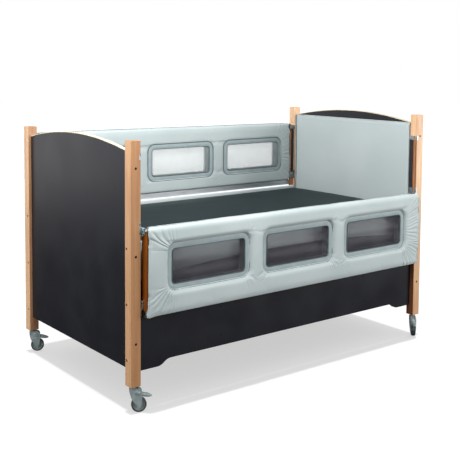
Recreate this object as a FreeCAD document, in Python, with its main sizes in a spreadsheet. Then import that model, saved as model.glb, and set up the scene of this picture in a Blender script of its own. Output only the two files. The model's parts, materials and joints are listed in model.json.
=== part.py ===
# Safety bed with padded lifting side rails, on four braked castors.
# Millimetres. +X runs to the head end, -Y is the near side and +Z is up.
# The origin is on the floor, under the middle of the bed.
# At rest the near rail is lowered and the far rail is raised.
import FreeCAD
import Part
import math
import os
import re

V = FreeCAD.Vector
doc = FreeCAD.newDocument("safety_bed")

SIZES = {
    # overall frame
    "length": 2100, "width": 1180, "post": 56, "post_round": 4,
    "castor_height": 132, "foot_post": 1188, "head_post": 1252,
    # black boards between the posts
    "board": 20, "panel_low": 77, "panel_arch": 55, "foot_panel_top": 1191,
    "head_panel_top": 1256, "band": 4, "skirt_set_in": 31, "skirt_low": 62,
    "skirt_step": 30, "skirt_step_run": 80, "skirt_end_run": 114,
    "skirt_over_deck": 12, "skirt_arch": 53,
    # fasteners
    "bolt": 8, "bolt_head": 13, "bolt_head_deep": 5, "bolt_sunk": 3, "bolt_grip": 34,
    "bolt_gap": 0.2, "key_socket": 3, "bolt_low": 209, "bolt_mid": 634,
    "bolt_under_top": 131, "rail_bolt_low": 125, "rail_bolt_mid": 398,
    "rail_bolt_high": 670,
    # platform under the mattress
    "ledge_deep": 50, "ledge": 30, "bearer": 45, "bearer_deep": 80, "bearer_off": 530,
    "cleat_wide": 110, "cleat": 25, "cleat_low": 120, "slat": 16, "slat_wide": 80,
    "slats": 14, "deck": 546, "screw": 4, "screw_head": 10,
    "screw_head_deep": 2, "screw_slot": 1.25, "screw_grip": 14, "screw_pitch": 84,
    "screw_low": 149, "screw_rise": 153,
    # soft parts
    "mattress": 144, "mattress_crown": 8, "mattress_round": 30, "mattress_draw": 5,
    "liner": 20, "liner_round": 6, "liner_head_top": 1205, "liner_foot_top": 1130,
    "liner_side_rise": 154, "liner_edge_gap": 14, "soft_gap": 0.3,
    # lifting rails
    "rail_low": 336, "rail_high": 772, "rail_end_gap": 14, "rail_mid": 5, "rail_rise": 360,
    "tube": 30, "tube_wall": 2, "bar_width": 50, "bar_deep": 32, "bar_wall": 2.5,
    "bar_set": 27, "stile": 30, "stile_deep": 40, "stile_round": 3,
    # fabric cover of a rail
    "cover_out": 44, "cover_in": 27, "cover_thin": 5, "cover_face": 3900, "cover_round": 22,
    "cover_end_gap": 26, "cover_end_round": 14,
    "window_side": 108.5, "window_post": 87, "window_over": 90, "window_under": 108,
    "window_round": 20, "window_rim": 5, "binding": 30, "sunk_outside": 19,
    "sunk_inside": 4, "binding_deep": 3.5, "pane": 1,
    # guides, latches and stops on the posts
    "groove": 10, "groove_deep": 12, "groove_in": 18, "pin": 9, "pin_end_gap": 1,
    "slide_gap": 1, "block_front": 8, "block_deep": 36, "block_high": 40,
    "block_round": 2, "strike": 2.5, "strike_wide": 60, "strike_lip": 9,
    "strike_low_high": 60, "strike_low": 741, "strike_top_high": 24,
    "strike_top": 1098, "guide": 6, "guide_wide": 24, "guide_round": 2, "stop": 12, "stop_high": 34, "stop_wide": 28, "stop_leg": 4,
    "block_rise": 42,
    "button": 6, "button_high": 18, "button_out": 12, "button_run": 8,
    "button_long": 26, "button_gap": 0.4,
    # castors
    "wheel": 75, "wheel_wide": 22, "tyre": 7, "axle": 8, "axle_gap": 0.05, "trail": 28,
    "fork_wide": 34, "fork_wall": 4, "neck": 26, "neck_high": 8,
    "stem": 11, "stem_high": 40, "plate": 3, "plate_wide": 38, "plate_gap": 1,
    "socket_wall": 2, "socket_gap": 0.2, "fork_eye": 11, "fork_back": 16, "fork_brow": 4,
    "fork_brow_rise": 2, "fork_shoulder": 22, "fork_waist": 8, "fork_notch": 20,
    "tyre_edge": 4.9, "web_rim": 4.5, "web_half": 5, "web_edge": 1.5, "hub_out": 8,
    "hub_wide": 19, "hub_edge": 0.75,
    # brake pedals
    "pedal_over_wheel": 12, "pedal_long": 46, "pedal_wide": 30, "pedal_arm": 19,
    "pedal_thick": 5, "pedal_pin": 5, "pedal_hub": 6, "pedal_drop": 8, "pedal_sag": 6.5,
    "toe_long": 15, "toe_thick": 6, "toe_drop": 12, "toe_round": 7.5,
    # running past a face in a cut
    "cut_over": 1,
}

sheet = doc.addObject("Spreadsheet::Sheet", "Sizes")
for row, (alias, value) in enumerate(SIZES.items(), start=1):
    sheet.set("A%d" % row, alias)
    sheet.set("B%d" % row, str(value))
    sheet.setAlias("B%d" % row, alias)
doc.recompute()


# Reading the sheet: size() gives a number, bind() ties a property to the cells

WORD = re.compile(r"[a-z_]+")
SAME = 1e-6


def bound_text(text):
    return WORD.sub(lambda m: "Sizes." + m.group() if m.group() in SIZES else m.group(), text)


def size(text):
    """The value of a sum of sizes, as plain Python."""
    value = WORD.sub(lambda m: str(getattr(sheet, m.group())), text)
    total = FreeCAD.Units.Quantity(value)
    return total.Value


def bind(obj, prop, text):
    obj.setExpression(prop, bound_text(str(text)))


def place(obj, x="0", y="0", z="0"):
    bind(obj, "Placement.Base.x", x)
    bind(obj, "Placement.Base.y", y)
    bind(obj, "Placement.Base.z", z)
    return obj


# Spans: a stretch from near to far along one side of the middle, as a low corner

def low_corner(side, near, far):
    return "(%s)" % near if side > 0 else "-(%s)" % far


def flip(side, text):
    return "(%s)" % text if side > 0 else "-(%s)" % text


counter = [0]


def fresh(kind, name):
    counter[0] += 1
    return doc.addObject(kind, "%s_%d" % (name, counter[0]))


def box(x, y, z, name="block"):
    """A block from (low, length) pairs along X, Y and Z."""
    obj = fresh("Part::Box", name)
    bind(obj, "Length", x[1])
    bind(obj, "Width", y[1])
    bind(obj, "Height", z[1])
    return place(obj, x[0], y[0], z[0])


AXES = {"X": V(1, 0, 0), "Y": V(0, 1, 0), "Z": V(0, 0, 1),
        "-X": V(-1, 0, 0), "-Y": V(0, -1, 0), "-Z": V(0, 0, -1)}


def rod(radius, length, x, y, z, axis="Z", name="rod"):
    obj = fresh("Part::Cylinder", name)
    bind(obj, "Radius", radius)
    bind(obj, "Height", length)
    obj.Placement.Rotation = FreeCAD.Rotation(AXES["Z"], AXES[axis])
    return place(obj, x, y, z)


def join(parts, name="joined"):
    if len(parts) == 1:
        return parts[0]
    obj = fresh("Part::MultiFuse", name)
    obj.Shapes = parts
    return obj


def cut(base, tools, name="cut"):
    obj = fresh("Part::Cut", name)
    obj.Base = base
    obj.Tool = join(tools)
    return obj


def rounded(base, radius, chosen, name="rounded"):
    """Rounds the edges that the test picks from the recomputed base."""
    doc.recompute()
    obj = fresh("Part::Fillet", name)
    obj.Base = base
    value = size(radius)
    obj.Edges = [(i, value, value) for i, edge in enumerate(base.Shape.Edges, start=1) if chosen(edge)]
    return obj


def along(axis):
    """An edge test: straight and parallel to the axis."""
    def test(edge):
        if edge.Curve.TypeId != "Part::GeomLine":
            return False
        return abs(abs(edge.tangentAt(edge.FirstParameter).dot(AXES[axis])) - 1) < SAME
    return test


def pull(face, length, axis, name="pulled"):
    """An outline pulled straight along an axis."""
    outline = fresh("Part::Feature", name + "_outline")
    outline.Shape = face
    obj = fresh("Part::Extrusion", name)
    obj.Base = outline
    obj.DirMode = "Custom"
    obj.Dir = AXES[axis]
    obj.Solid = True
    bind(obj, "LengthFwd", length)
    return obj


def turn(base, profile_axis, name="turned"):
    obj = fresh("Part::Revolution", name)
    obj.Source = base
    obj.Axis = AXES[profile_axis]
    obj.Angle = 360
    obj.Solid = True
    return obj


def feature(shape, name="form"):
    obj = fresh("Part::Feature", name)
    obj.Shape = shape
    return obj


nodes = {}


def node(label, parts):
    """Names one sub-part: a single solid, or a group of like solids."""
    if isinstance(parts, list):
        obj = fresh("Part::Compound", label)
        obj.Links = parts
    else:
        obj = parts
    obj.Label = label
    nodes[label] = obj
    return obj


def straight(a, b):
    return Part.LineSegment(V(*a), V(*b)).toShape()


def bow(a, middle, b):
    return Part.Arc(V(*a), V(*middle), V(*b)).toShape()


def filled(edges):
    return Part.Face(Part.Wire(edges))


ENDS = {"foot": -1, "head": 1}
SIDES = {"near": -1, "far": 1}
CORNERS = [(end, side) for end in ENDS for side in SIDES]
IN_X = "(length / 2 - post)"
IN_Y = "(width / 2 - post)"
OUT_X = "(length / 2)"
OUT_Y = "(width / 2)"
BASE = "castor_height"
SKIRT_MID = "(skirt_set_in + board / 2)"
MID_POST = "(post / 2)"


# Bolts: a socket head sunk in a counterbore, and a plain shank

def bolt(x, y, z, axis, reach):
    head = rod("bolt_head / 2", "bolt_head_deep", x, y, z, axis, "bolt_head")
    shank = rod("bolt / 2", reach, x, y, z, axis, "bolt_shank")
    key = rod("key_socket", "key_socket", x, y, z, axis, "bolt_key")
    return cut(join([head, shank]), [key], "bolt")


def bolt_hole(x, y, z, axis, reach):
    bore = rod("bolt_head / 2 + bolt_gap", "bolt_head_deep", x, y, z, axis, "bore")
    shank = rod("bolt / 2 + bolt_gap", reach, x, y, z, axis, "bolt_bore")
    return join([bore, shank])


def panel_bolt_heights(end):
    return ["bolt_low", "bolt_mid", "(%s_post - bolt_under_top)" % end]


RAIL_BOLT_HEIGHTS = ["rail_bolt_low", "rail_bolt_mid", "rail_bolt_high"]
REACH_PANEL = "(post + bolt_grip - bolt_sunk)"
SHORT_REACH = "(post - groove_deep - bolt_sunk)"


def panel_bolt_place(end, side, high):
    """Bolts through a post along Y, into the edge of the end panel."""
    x = flip(ENDS[end], "%s - %s" % (OUT_X, MID_POST))
    y = flip(SIDES[side], "%s - bolt_sunk" % OUT_Y)
    axis = "Y" if SIDES[side] < 0 else "-Y"
    return x, y, "%s + %s" % (BASE, high), axis


def rail_bolt_place(end, side, high):
    """Bolts through a post along X, into the end of the side board or its ledge."""
    x = flip(ENDS[end], "%s - bolt_sunk" % OUT_X)
    y = flip(SIDES[side], "%s - %s" % (OUT_Y, SKIRT_MID))
    axis = "X" if ENDS[end] < 0 else "-X"
    return x, y, "%s + %s" % (BASE, high), axis


def bolt_sets(end, side):
    sets = [(panel_bolt_place(end, side, high), REACH_PANEL) for high in panel_bolt_heights(end)]
    reaches = [REACH_PANEL, REACH_PANEL, SHORT_REACH]
    sets += [(rail_bolt_place(end, side, high), reach) for high, reach in zip(RAIL_BOLT_HEIGHTS, reaches)]
    return sets


def sunk_mouth(spot):
    """The clear mouth of a counterbore, from the head out past the post's face."""
    x, y, z, axis = spot
    out = axis[1:] if axis.startswith("-") else "-" + axis
    return rod("bolt_head / 2 + bolt_gap", "bolt_sunk + cut_over", x, y, z, out, "mouth")


# Posts

# The two sunk strike plates on each post: low height and height of each
STRIKES = [("strike_low", "strike_low_high"), ("strike_top", "strike_top_high")]


def strike_plate(end, side, low, high):
    ex, sy = ENDS[end], SIDES[side]
    leg = box((low_corner(ex, IN_X, IN_X + " + strike"), "strike"),
              (low_corner(sy, OUT_Y + " - strike_wide + strike", OUT_Y), "strike_wide - strike"),
              (BASE + " + " + low, high), "strike_leg")
    lip = box((low_corner(ex, IN_X, IN_X + " + strike_lip"), "strike_lip"),
              (low_corner(sy, OUT_Y + " - strike", OUT_Y), "strike"),
              (BASE + " + " + low, high), "strike_lip")
    return join([leg, lip], "strike_plate")


def catch_hole(end, side, low, high):
    """The round hole in a strike plate that the guide pin passes through."""
    ex, sy = ENDS[end], SIDES[side]
    return box((low_corner(ex, IN_X + " - cut_over", IN_X + " + strike + cut_over"),
                "strike + 2 * cut_over"),
               (low_corner(sy, OUT_Y + " - groove_in - groove / 2", OUT_Y + " - groove_in + groove / 2"),
                "groove"),
               (BASE + " + " + low + " - cut_over", high + " + 2 * cut_over"), "catch")


PIN_HIGH = "(rail_high - block_high / 2)"
PIN_LOW = "(rail_low + block_rise + soft_gap + block_high / 2)"
GROOVE_LOW = "(%s - groove)" % PIN_LOW
GROOVE_TOP = "(%s + rail_rise + pin / 2 + slide_gap / 2)" % PIN_HIGH


def post(end, side):
    ex, sy = ENDS[end], SIDES[side]
    bar = box((low_corner(ex, IN_X, OUT_X), "post"), (low_corner(sy, IN_Y, OUT_Y), "post"),
              (BASE, end + "_post"), "post_bar")
    soft = rounded(bar, "post_round", along("Z"), "post_soft")
    groove = box((low_corner(ex, IN_X + " - cut_over", IN_X + " + groove_deep"),
                  "groove_deep + cut_over"),
                 (low_corner(sy, OUT_Y + " - groove_in - groove / 2", OUT_Y + " - groove_in + groove / 2"),
                  "groove"),
                 (BASE + " + " + GROOVE_LOW, GROOVE_TOP + " - " + GROOVE_LOW), "groove")
    tools = [groove]
    for spot, reach in bolt_sets(end, side):
        tools += [bolt_hole(*spot, reach), sunk_mouth(spot)]
    tools += [strike_plate(end, side, low, high) for low, high in STRIKES]
    tools.append(rod("stem / 2 + socket_wall", "stem_high + socket_wall",
                     flip(ex, "%s - %s" % (OUT_X, MID_POST)), flip(sy, "%s - %s" % (OUT_Y, MID_POST)),
                     BASE, "Z", "stem_bore"))
    return cut(soft, tools, "post")


for end, side in CORNERS:
    node("%s_%s_post" % (end, side), post(end, side))

node("post_bolts", [bolt(*spot, reach) for end, side in CORNERS for spot, reach in bolt_sets(end, side)])

plates = []
for end, side in CORNERS:
    for low, high in STRIKES:
        plates.append(cut(strike_plate(end, side, low, high), [catch_hole(end, side, low, high)], "plate"))
node("strike_plates", plates)


def rail_guide(end, side):
    """A strip up the post's inner face, between the strike plates, that the rail runs along."""
    low = "strike_low + strike_low_high"
    strip = box((low_corner(ENDS[end], IN_X + " - guide", IN_X), "guide"),
                (low_corner(SIDES[side], IN_Y + " + post_round / 2",
                            IN_Y + " + post_round / 2 + guide_wide"), "guide_wide"),
                (BASE + " + " + low, "strike_top - (%s)" % low), "guide_strip")
    return rounded(strip, "guide_round", along("Z"), "guide_soft")


node("rail_guides", [rail_guide(end, side) for end, side in CORNERS])


# End panels: a board with an arched top and a bent wood band along it

def arch_points(y, low, top, rise, x):
    return [(x, -y, low), (x, -y, top - rise), (x, 0, top), (x, y, top - rise), (x, y, low)]


def end_panel(end):
    middle = "%s - %s" % (OUT_X, MID_POST)
    x = size(low_corner(ENDS[end], middle + " - board / 2", middle + " + board / 2"))
    y, low = size(IN_Y), size(BASE + " + panel_low")
    top, rise = size("%s + %s_panel_top - band" % (BASE, end)), size("panel_arch")
    a, b, peak, c, d = arch_points(y, low, top, rise, x)
    panel = pull(filled([straight(a, b), bow(b, peak, c), straight(c, d), straight(d, a)]),
                 "board", "X", "panel")
    holes = [bolt_hole(*spot, reach) for side in SIDES for spot, reach in bolt_sets(end, side)[:3]]
    up = size("band")
    e, f, crest = [(p[0], p[1], p[2] + up) for p in (b, c, peak)]
    band = pull(filled([bow(b, peak, c), straight(c, f), bow(f, crest, e), straight(e, b)]),
                "board", "X", "panel_band")
    return cut(panel, holes, "end_panel"), band


bands = []
for end in ENDS:
    panel, band = end_panel(end)
    node(end + "_panel", panel)
    bands.append(band)
node("panel_edge_bands", bands)


# Side boards: stepped lower edge with S curves, gently arched upper edge

def step(x0, z0, run, rise):
    """Two arcs that meet tangent, from (x0, z0) over run and rise."""
    radius = (run * run + rise * rise) / (4 * abs(rise))
    half = math.atan2(abs(rise), abs(run))
    dx = math.copysign(radius * math.sin(half), run)
    dz = math.copysign(radius * (1 - math.cos(half)), rise)
    start, mid, finish = (x0, z0), (x0 + run / 2, z0 + rise / 2), (x0 + run, z0 + rise)
    return [(start, (x0 + dx, z0 + dz), mid), (mid, (finish[0] - dx, finish[1] - dz), finish)]


def side_board(side):
    sy = SIDES[side]
    y = size("%s - skirt_set_in" % OUT_Y)
    y = -y if sy < 0 else y - size("board")
    x, low = size(IN_X), size(BASE + " + skirt_low")
    run, rise, end_run = size("skirt_step_run"), size("skirt_step"), size("skirt_end_run")
    top, arch = size(BASE + " + deck + skirt_over_deck"), size("skirt_arch")
    at = lambda p: (p[0], y, p[1])
    left = step(-x + end_run, low, run, rise)
    right = step(x - end_run - run, low + rise, run, -rise)
    edges = [straight(at((-x, low)), at(left[0][0]))]
    edges += [bow(*[at(p) for p in arc]) for arc in left]
    edges.append(straight(at(left[1][2]), at(right[0][0])))
    edges += [bow(*[at(p) for p in arc]) for arc in right]
    edges += [straight(at(right[1][2]), at((x, low))), straight(at((x, low)), at((x, top - arch))),
              bow(at((x, top - arch)), at((0, top)), at((-x, top - arch))),
              straight(at((-x, top - arch)), at((-x, low)))]
    board = pull(filled(edges), "board", "Y", "board")
    holes = [bolt_hole(*spot, reach) for end in ENDS for spot, reach in bolt_sets(end, side)[3:5]]
    holes += [screw(*spot, hole=True) for spot in board_screw_spots(side)]
    return cut(board, holes, "side_board")


def screw(x, y, z, axis, hole=False):
    """A flat countersunk screw, or the hole it leaves."""
    shank = rod("screw / 2", "board + screw_grip", x, y, z, axis, "screw_shank")
    head = fresh("Part::Cone", "screw_head")
    bind(head, "Radius1", "screw_head / 2")
    bind(head, "Radius2", "screw / 2")
    bind(head, "Height", "screw_head_deep")
    head.Placement.Rotation = FreeCAD.Rotation(AXES["Z"], AXES[axis])
    place(head, x, y, z)
    solid = join([head, shank], "screw")
    if hole:
        return solid
    slot = box((x + " - screw_head / 4", "screw_head / 2"),
               (y + " - screw_head_deep / 4", "screw_head_deep / 2"),
               (z + " - screw_slot / 2", "screw_slot"), "screw_slot")
    return cut(solid, [slot], "screw")


def board_screw_spots(side):
    sy = SIDES[side]
    axis = "Y" if sy < 0 else "-Y"
    spots = []
    for ex in ENDS.values():
        for across in (-1, 1):
            for up in ("screw_low", "screw_low + screw_rise"):
                x = "%s * bearer_off + %s * screw_pitch / 2" % (ex, across)
                spots.append((x, flip(sy, OUT_Y + " - skirt_set_in"), BASE + " + " + up, axis))
    return spots


for side in SIDES:
    node(side + "_side_board", side_board(side))
node("board_screws", [screw(*spot) for side in SIDES for spot in board_screw_spots(side)])


# Platform: ledges round the inside, cleats and bearers across, and slats

BOARD_IN = "(width / 2 - skirt_set_in - board)"
PANEL_IN = "(length / 2 - post / 2 - board / 2)"
LEDGE_LOW = "%s + deck - slat - ledge_deep" % BASE
ledges = []
for sy in SIDES.values():
    ledges.append(box(("-(%s - ledge)" % PANEL_IN, "2 * (%s - ledge)" % PANEL_IN),
                      (low_corner(sy, BOARD_IN + " - ledge", BOARD_IN), "ledge"),
                      (LEDGE_LOW, "ledge_deep"), "side_ledge"))
for ex in ENDS.values():
    ledges.append(box((low_corner(ex, PANEL_IN + " - ledge", PANEL_IN), "ledge"),
                      ("-%s" % IN_Y, "2 * %s" % IN_Y),
                      (LEDGE_LOW, "ledge_deep"), "end_ledge"))
node("platform_ledges", ledges)

cleats, bearers = [], []
for side, sy in SIDES.items():
    spots = board_screw_spots(side)
    screws_each = len(spots) // len(ENDS)
    for i, ex in enumerate(ENDS.values()):
        cleat = box(("%s * bearer_off - cleat_wide / 2" % ex, "cleat_wide"),
                    (low_corner(sy, BOARD_IN + " - cleat", BOARD_IN), "cleat"),
                    (BASE + " + cleat_low", "deck - slat - ledge_deep - cleat_low"), "cleat")
        bores = [screw(*spot, hole=True) for spot in spots[screws_each * i:screws_each * (i + 1)]]
        cleats.append(cut(cleat, bores, "cleat"))
for ex in ENDS.values():
    middle = "%s * bearer_off" % ex
    bearers.append(box((middle + " - bearer / 2", "bearer"),
                       ("-(%s - ledge)" % BOARD_IN, "2 * (%s - ledge)" % BOARD_IN),
                       (BASE + " + deck - slat - bearer_deep", "bearer_deep"), "bearer"))
node("bearer_cleats", cleats)
node("cross_bearers", bearers)

SLAT_RUN = "(2 * (%s - ledge) - slat_wide)" % PANEL_IN
COUNT = int(SIZES["slats"])
node("platform_slats", [
    box(("-%s / 2 - slat_wide / 2 + %s * %s / (slats - 1)" % (SLAT_RUN, i, SLAT_RUN), "slat_wide"),
        ("-(%s - slide_gap)" % BOARD_IN, "2 * (%s - slide_gap)" % BOARD_IN),
        (BASE + " + deck - slat", "slat"), "slat") for i in range(COUNT)])


# Soft parts inside: mattress with a crown and drawn-in sides, and the liner pads

def pad_outline(x, y, draw, r, z):
    """A rectangle with round corners, whose sides are drawn in between them."""
    k = r * (1 - math.sqrt(0.5))
    return [bow((r - x, -y, z), (0, draw - y, z), (x - r, -y, z)),
            bow((x - r, -y, z), (x - k, k - y, z), (x, r - y, z)),
            bow((x, r - y, z), (x - draw, 0, z), (x, y - r, z)),
            bow((x, y - r, z), (x - k, y - k, z), (x - r, y, z)),
            bow((x - r, y, z), (0, y - draw, z), (r - x, y, z)),
            bow((r - x, y, z), (k - x, y - k, z), (-x, y - r, z)),
            bow((-x, y - r, z), (draw - x, 0, z), (-x, r - y, z)),
            bow((-x, r - y, z), (k - x, k - y, z), (r - x, -y, z))]


LINER_X = "(%s - liner)" % PANEL_IN
LINER_Y = "(%s - liner)" % BOARD_IN


def mattress():
    x, y = size(LINER_X + " - soft_gap"), size(LINER_Y + " - soft_gap")
    low, high = size(BASE + " + deck + soft_gap"), size("mattress - soft_gap")
    outline = pad_outline(x, y, size("mattress_draw"), size("mattress_round"), low)
    base = pull(filled(outline), "mattress - soft_gap", "Z", "mattress")
    top, crown = low + high, size("mattress_crown")
    arch = filled([straight((-x, -y, low), (-x, y, low)), straight((-x, y, low), (-x, y, top - crown)),
                   bow((-x, y, top - crown), (-x, 0, top), (-x, -y, top - crown)),
                   straight((-x, -y, top - crown), (-x, -y, low))])
    crowned = fresh("Part::Common", "crowned")
    crowned.Base = base
    crowned.Tool = pull(arch, "2 * %s" % LINER_X, "X", "crown")
    return crowned


node("mattress", mattress())


def soft_board(x, y, z, name):
    pad = box(x, y, z, name)
    return rounded(pad, "liner_round", lambda edge: True, name)


for end, ex in ENDS.items():
    low = BASE + " + deck - slat + soft_gap"
    node(end + "_liner_pad", soft_board(
        (low_corner(ex, LINER_X, PANEL_IN + " - soft_gap"), "liner - soft_gap"),
        ("-(%s - liner_edge_gap)" % IN_Y, "2 * (%s - liner_edge_gap)" % IN_Y),
        (low, "liner_%s_top - deck + slat - soft_gap" % end), end + "_liner"))
for side, sy in SIDES.items():
    node(side + "_liner_pad", soft_board(
        ("-(%s - soft_gap)" % LINER_X, "2 * (%s - soft_gap)" % LINER_X),
        (low_corner(sy, LINER_Y, BOARD_IN + " - soft_gap"), "liner - soft_gap"),
        (BASE + " + deck + soft_gap", "liner_side_rise - soft_gap"), side + "_liner"))


# Lifting rails. Depths are taken from the posts' outer face, inward positive.

RAIL_X = "(%s - rail_end_gap)" % IN_X
LIFTED = {"near": "0", "far": "rail_rise"}
TUBE_HIGH = "(rail_high - tube / 2 - cover_thin)"
BLOCK_LOWS = {"top": "(rail_high - block_high)", "low": "(rail_low + block_rise + soft_gap)"}
BLOCK_MID_X = "(%s - slide_gap / 2 - rail_end_gap / 2)" % IN_X


def depth(side, near, far):
    """A span in Y between two depths behind the posts' outer face."""
    return low_corner(SIDES[side], "%s - (%s)" % (OUT_Y, far), "%s - (%s)" % (OUT_Y, near))


def rail_z(side, text):
    return "%s + %s + %s" % (BASE, LIFTED[side], text)


def top_tube(side, radius, length):
    return rod(radius, length, "-(%s) / 2" % length, flip(SIDES[side], OUT_Y + " + rail_mid"),
               rail_z(side, TUBE_HIGH), "X", "top_tube")


def bottom_bar(side, inset, grow, length):
    """The bottom bar's block, drawn in by its wall or grown by a gap."""
    change = "(%s - %s)" % (grow, inset)
    return box(("-(%s) / 2" % length, length),
               (depth(side, "bar_set - bar_width - " + change, "bar_set + " + change),
                "bar_width + 2 * " + change),
               (rail_z(side, "rail_low - " + change), "bar_deep + 2 * " + change), "bottom_bar")


def stile(end, side, grow="0"):
    ex = ENDS[end]
    return box((low_corner(ex, RAIL_X + " - stile - " + grow, RAIL_X + " + " + grow),
                "stile + 2 * " + grow),
               (depth(side, "-rail_mid - stile_deep / 2 - " + grow, "-rail_mid + stile_deep / 2 + " + grow),
                "stile_deep + 2 * " + grow),
               (rail_z(side, "rail_low + bar_deep"), TUBE_HIGH + " - rail_low - bar_deep"), "stile")


def slot_round(x, z, wide, high, radius, y):
    """A rectangle with round corners, in the plane at y."""
    a, b, k = wide / 2, high / 2, radius * (1 - math.sqrt(0.5))
    corners = []
    for sx, sz in ((1, -1), (1, 1), (-1, 1), (-1, -1)):
        first = (x + sx * (a - radius), y, z + sz * b)
        second = (x + sx * a, y, z + sz * (b - radius))
        middle = (x + sx * (a - k), y, z + sz * (b - k))
        corners.append((first, middle, second) if sx * sz < 0 else (second, middle, first))
    edges = []
    for i, corner in enumerate(corners):
        edges.append(bow(*corner))
        edges.append(straight(corner[2], corners[(i + 1) % 4][0]))
    return filled(edges)


COVER_X = "(%s - cover_end_gap)" % IN_X
WINDOWS = (-1, 0, 1)
WINDOW_SEAT = "((2 * %s - 2 * window_side - 2 * window_post) / %s)" % (COVER_X, len(WINDOWS))
WINDOW_WIDE = "(%s - 2 * binding)" % WINDOW_SEAT
WINDOW_HIGH = "(rail_high - rail_low - window_over - window_under - 2 * binding)"
WINDOW_MID = "(rail_low + window_under + rail_high - window_over) / 2"


def window_spots(side):
    z = size(rail_z(side, WINDOW_MID))
    return [(size("%s * (%s + window_post)" % (i, WINDOW_SEAT)), z) for i in WINDOWS]


# Depth of each face's crest, the way that runs in from it, and how deep the bindings lie
FACES = {"outer": ("-cover_out", 1, "sunk_outside"), "inner": ("cover_in", -1, "sunk_inside")}


def window_piece(side, face, skip, thick, grow, hole=False):
    """Three plates in the window seats of one face, skip behind its crest."""
    crest, inward, sunk = FACES[face]
    near = "%s + %s * (%s)" % (crest, inward, skip)
    far = "%s + %s * (%s + %s)" % (crest, inward, skip, thick)
    low, high = (near, far) if inward > 0 else (far, near)
    y = size(depth(side, low, high))
    pieces = []
    for x, z in window_spots(side):
        wide, tall, reach = size(WINDOW_WIDE), size(WINDOW_HIGH), size(grow)
        plate = slot_round(x, z, wide + 2 * reach, tall + 2 * reach, size("window_round") + reach, y)
        if hole:
            plate = plate.cut(slot_round(x, z, wide, tall, size("window_round"), y))
        pieces.append(pull(plate, thick, "Y", "window_plate"))
    return pieces


def cover_corner(crest, way, half_high):
    """Where a face's wide arc runs into a corner arc: tangent point, middle and end."""
    wide, r = size("cover_face"), size("cover_round")
    rise = half_high - r
    run = math.sqrt((wide - r) ** 2 - rise ** 2)
    hub = crest - way * (wide - run)
    lean = wide / (wide - r)
    tangent = (crest - way * (wide - lean * run), lean * rise)
    slant = V(way * run / (wide - r), rise / (wide - r) + 1, 0).normalize()
    return tangent, (hub + r * slant.x, rise + r * slant.y), (hub, half_high)


def cover_section(side):
    """The cover's outline in Y and Z: crowned faces that run into soft corners."""
    x = -size(COVER_X)
    low, top = size(rail_z(side, "rail_low")), size(rail_z(side, "rail_high"))
    middle, half_high = (low + top) / 2, (top - low) / 2
    at = lambda p, up=1: (x, SIDES[side] * (size(OUT_Y) - p[0]), middle + up * p[1])
    out, inn = size("-cover_out"), size("cover_in")
    a, b, c = cover_corner(out, -1, half_high)
    d, e, f = cover_corner(inn, 1, half_high)
    return filled([
        bow(at(a, -1), at((out, 0)), at(a)), bow(at(a), at(b), at(c)), straight(at(c), at(f)),
        bow(at(f), at(e), at(d)), bow(at(d), at((inn, 0)), at(d, -1)),
        bow(at(d, -1), at(e, -1), at(f, -1)), straight(at(f, -1), at(c, -1)),
        bow(at(c, -1), at(b, -1), at(a, -1))])


def rim_edges(side):
    """An edge test: round the mouth of a window seat, on either face's crest."""
    across = size(COVER_X) - size("window_side") + size("cut_over")
    low = size(rail_z(side, "rail_low + window_under - cut_over"))
    top = size(rail_z(side, "rail_high - window_over + cut_over"))
    crests = [SIDES[side] * (size(OUT_Y) - size(crest)) for crest, inward, sunk in FACES.values()]

    def test(edge):
        span = edge.BoundBox
        if max(span.XMax, -span.XMin) > across or span.ZMin < low or span.ZMax > top:
            return False
        return min(abs(span.Center.y - crest) for crest in crests) < size("window_rim")
    return test


def rail_cover(side):
    long = "2 * " + COVER_X
    body = pull(cover_section(side), long, "X", "cover")
    half = size(long) / 2
    ends = lambda edge: all(abs(abs(v.X) - half) < SAME for v in edge.Vertexes) and \
        edge.BoundBox.XLength < SAME
    soft = rounded(body, "cover_end_round", ends, "cover_soft")
    tools = [top_tube(side, "tube / 2 + soft_gap", "2 * " + RAIL_X),
             bottom_bar(side, "0", "soft_gap", "2 * " + RAIL_X),
             box(("-" + RAIL_X, "2 * " + RAIL_X),
                 (depth(side, "0", "cover_in + cut_over"), "cover_in + cut_over"),
                 (rail_z(side, "rail_low - cut_over"), "bar_deep + soft_gap + cut_over"), "bar_mouth")]
    tools += [stile(end, side, "soft_gap") for end in ENDS]
    seats = []
    for face, (crest, inward, sunk) in FACES.items():
        seats += window_piece(side, face, "-cut_over", sunk + " + binding_deep + pane + cut_over", "binding")
    rimmed = rounded(cut(soft, seats, "cover_seats"), "window_rim", rim_edges(side), "cover_rims")
    tools += window_piece(side, "outer", "sunk_outside + binding_deep",
                          "cover_out + cover_in - sunk_outside - sunk_inside - 2 * binding_deep", "0")
    return cut(rimmed, tools, "cover")


def slide_block(end, side, high):
    """A block on the stile's end with a pin that runs in the post's groove."""
    ex, sy = ENDS[end], SIDES[side]
    low = BLOCK_LOWS[high]
    body = box((low_corner(ex, RAIL_X, IN_X + " - slide_gap"), "rail_end_gap - slide_gap"),
               (depth(side, "-block_front", "block_deep - block_front"), "block_deep"),
               (rail_z(side, low), "block_high"), "block")
    soft = rounded(body, "block_round", along("X"), "block_soft")
    pin = rod("pin / 2", "groove_deep + slide_gap - pin_end_gap + block_round",
              flip(ex, IN_X + " - slide_gap - block_round"), flip(sy, OUT_Y + " - groove_in"),
              rail_z(side, low + " + block_high / 2"), "X" if ex > 0 else "-X", "pin")
    whole = join([soft, pin], "slide_block")
    if high != "top":
        return whole
    slot = button_form(end, side, "button_gap", "button_run + button_gap + block_round")
    return cut(whole, [slot], "slide_block")


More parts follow.
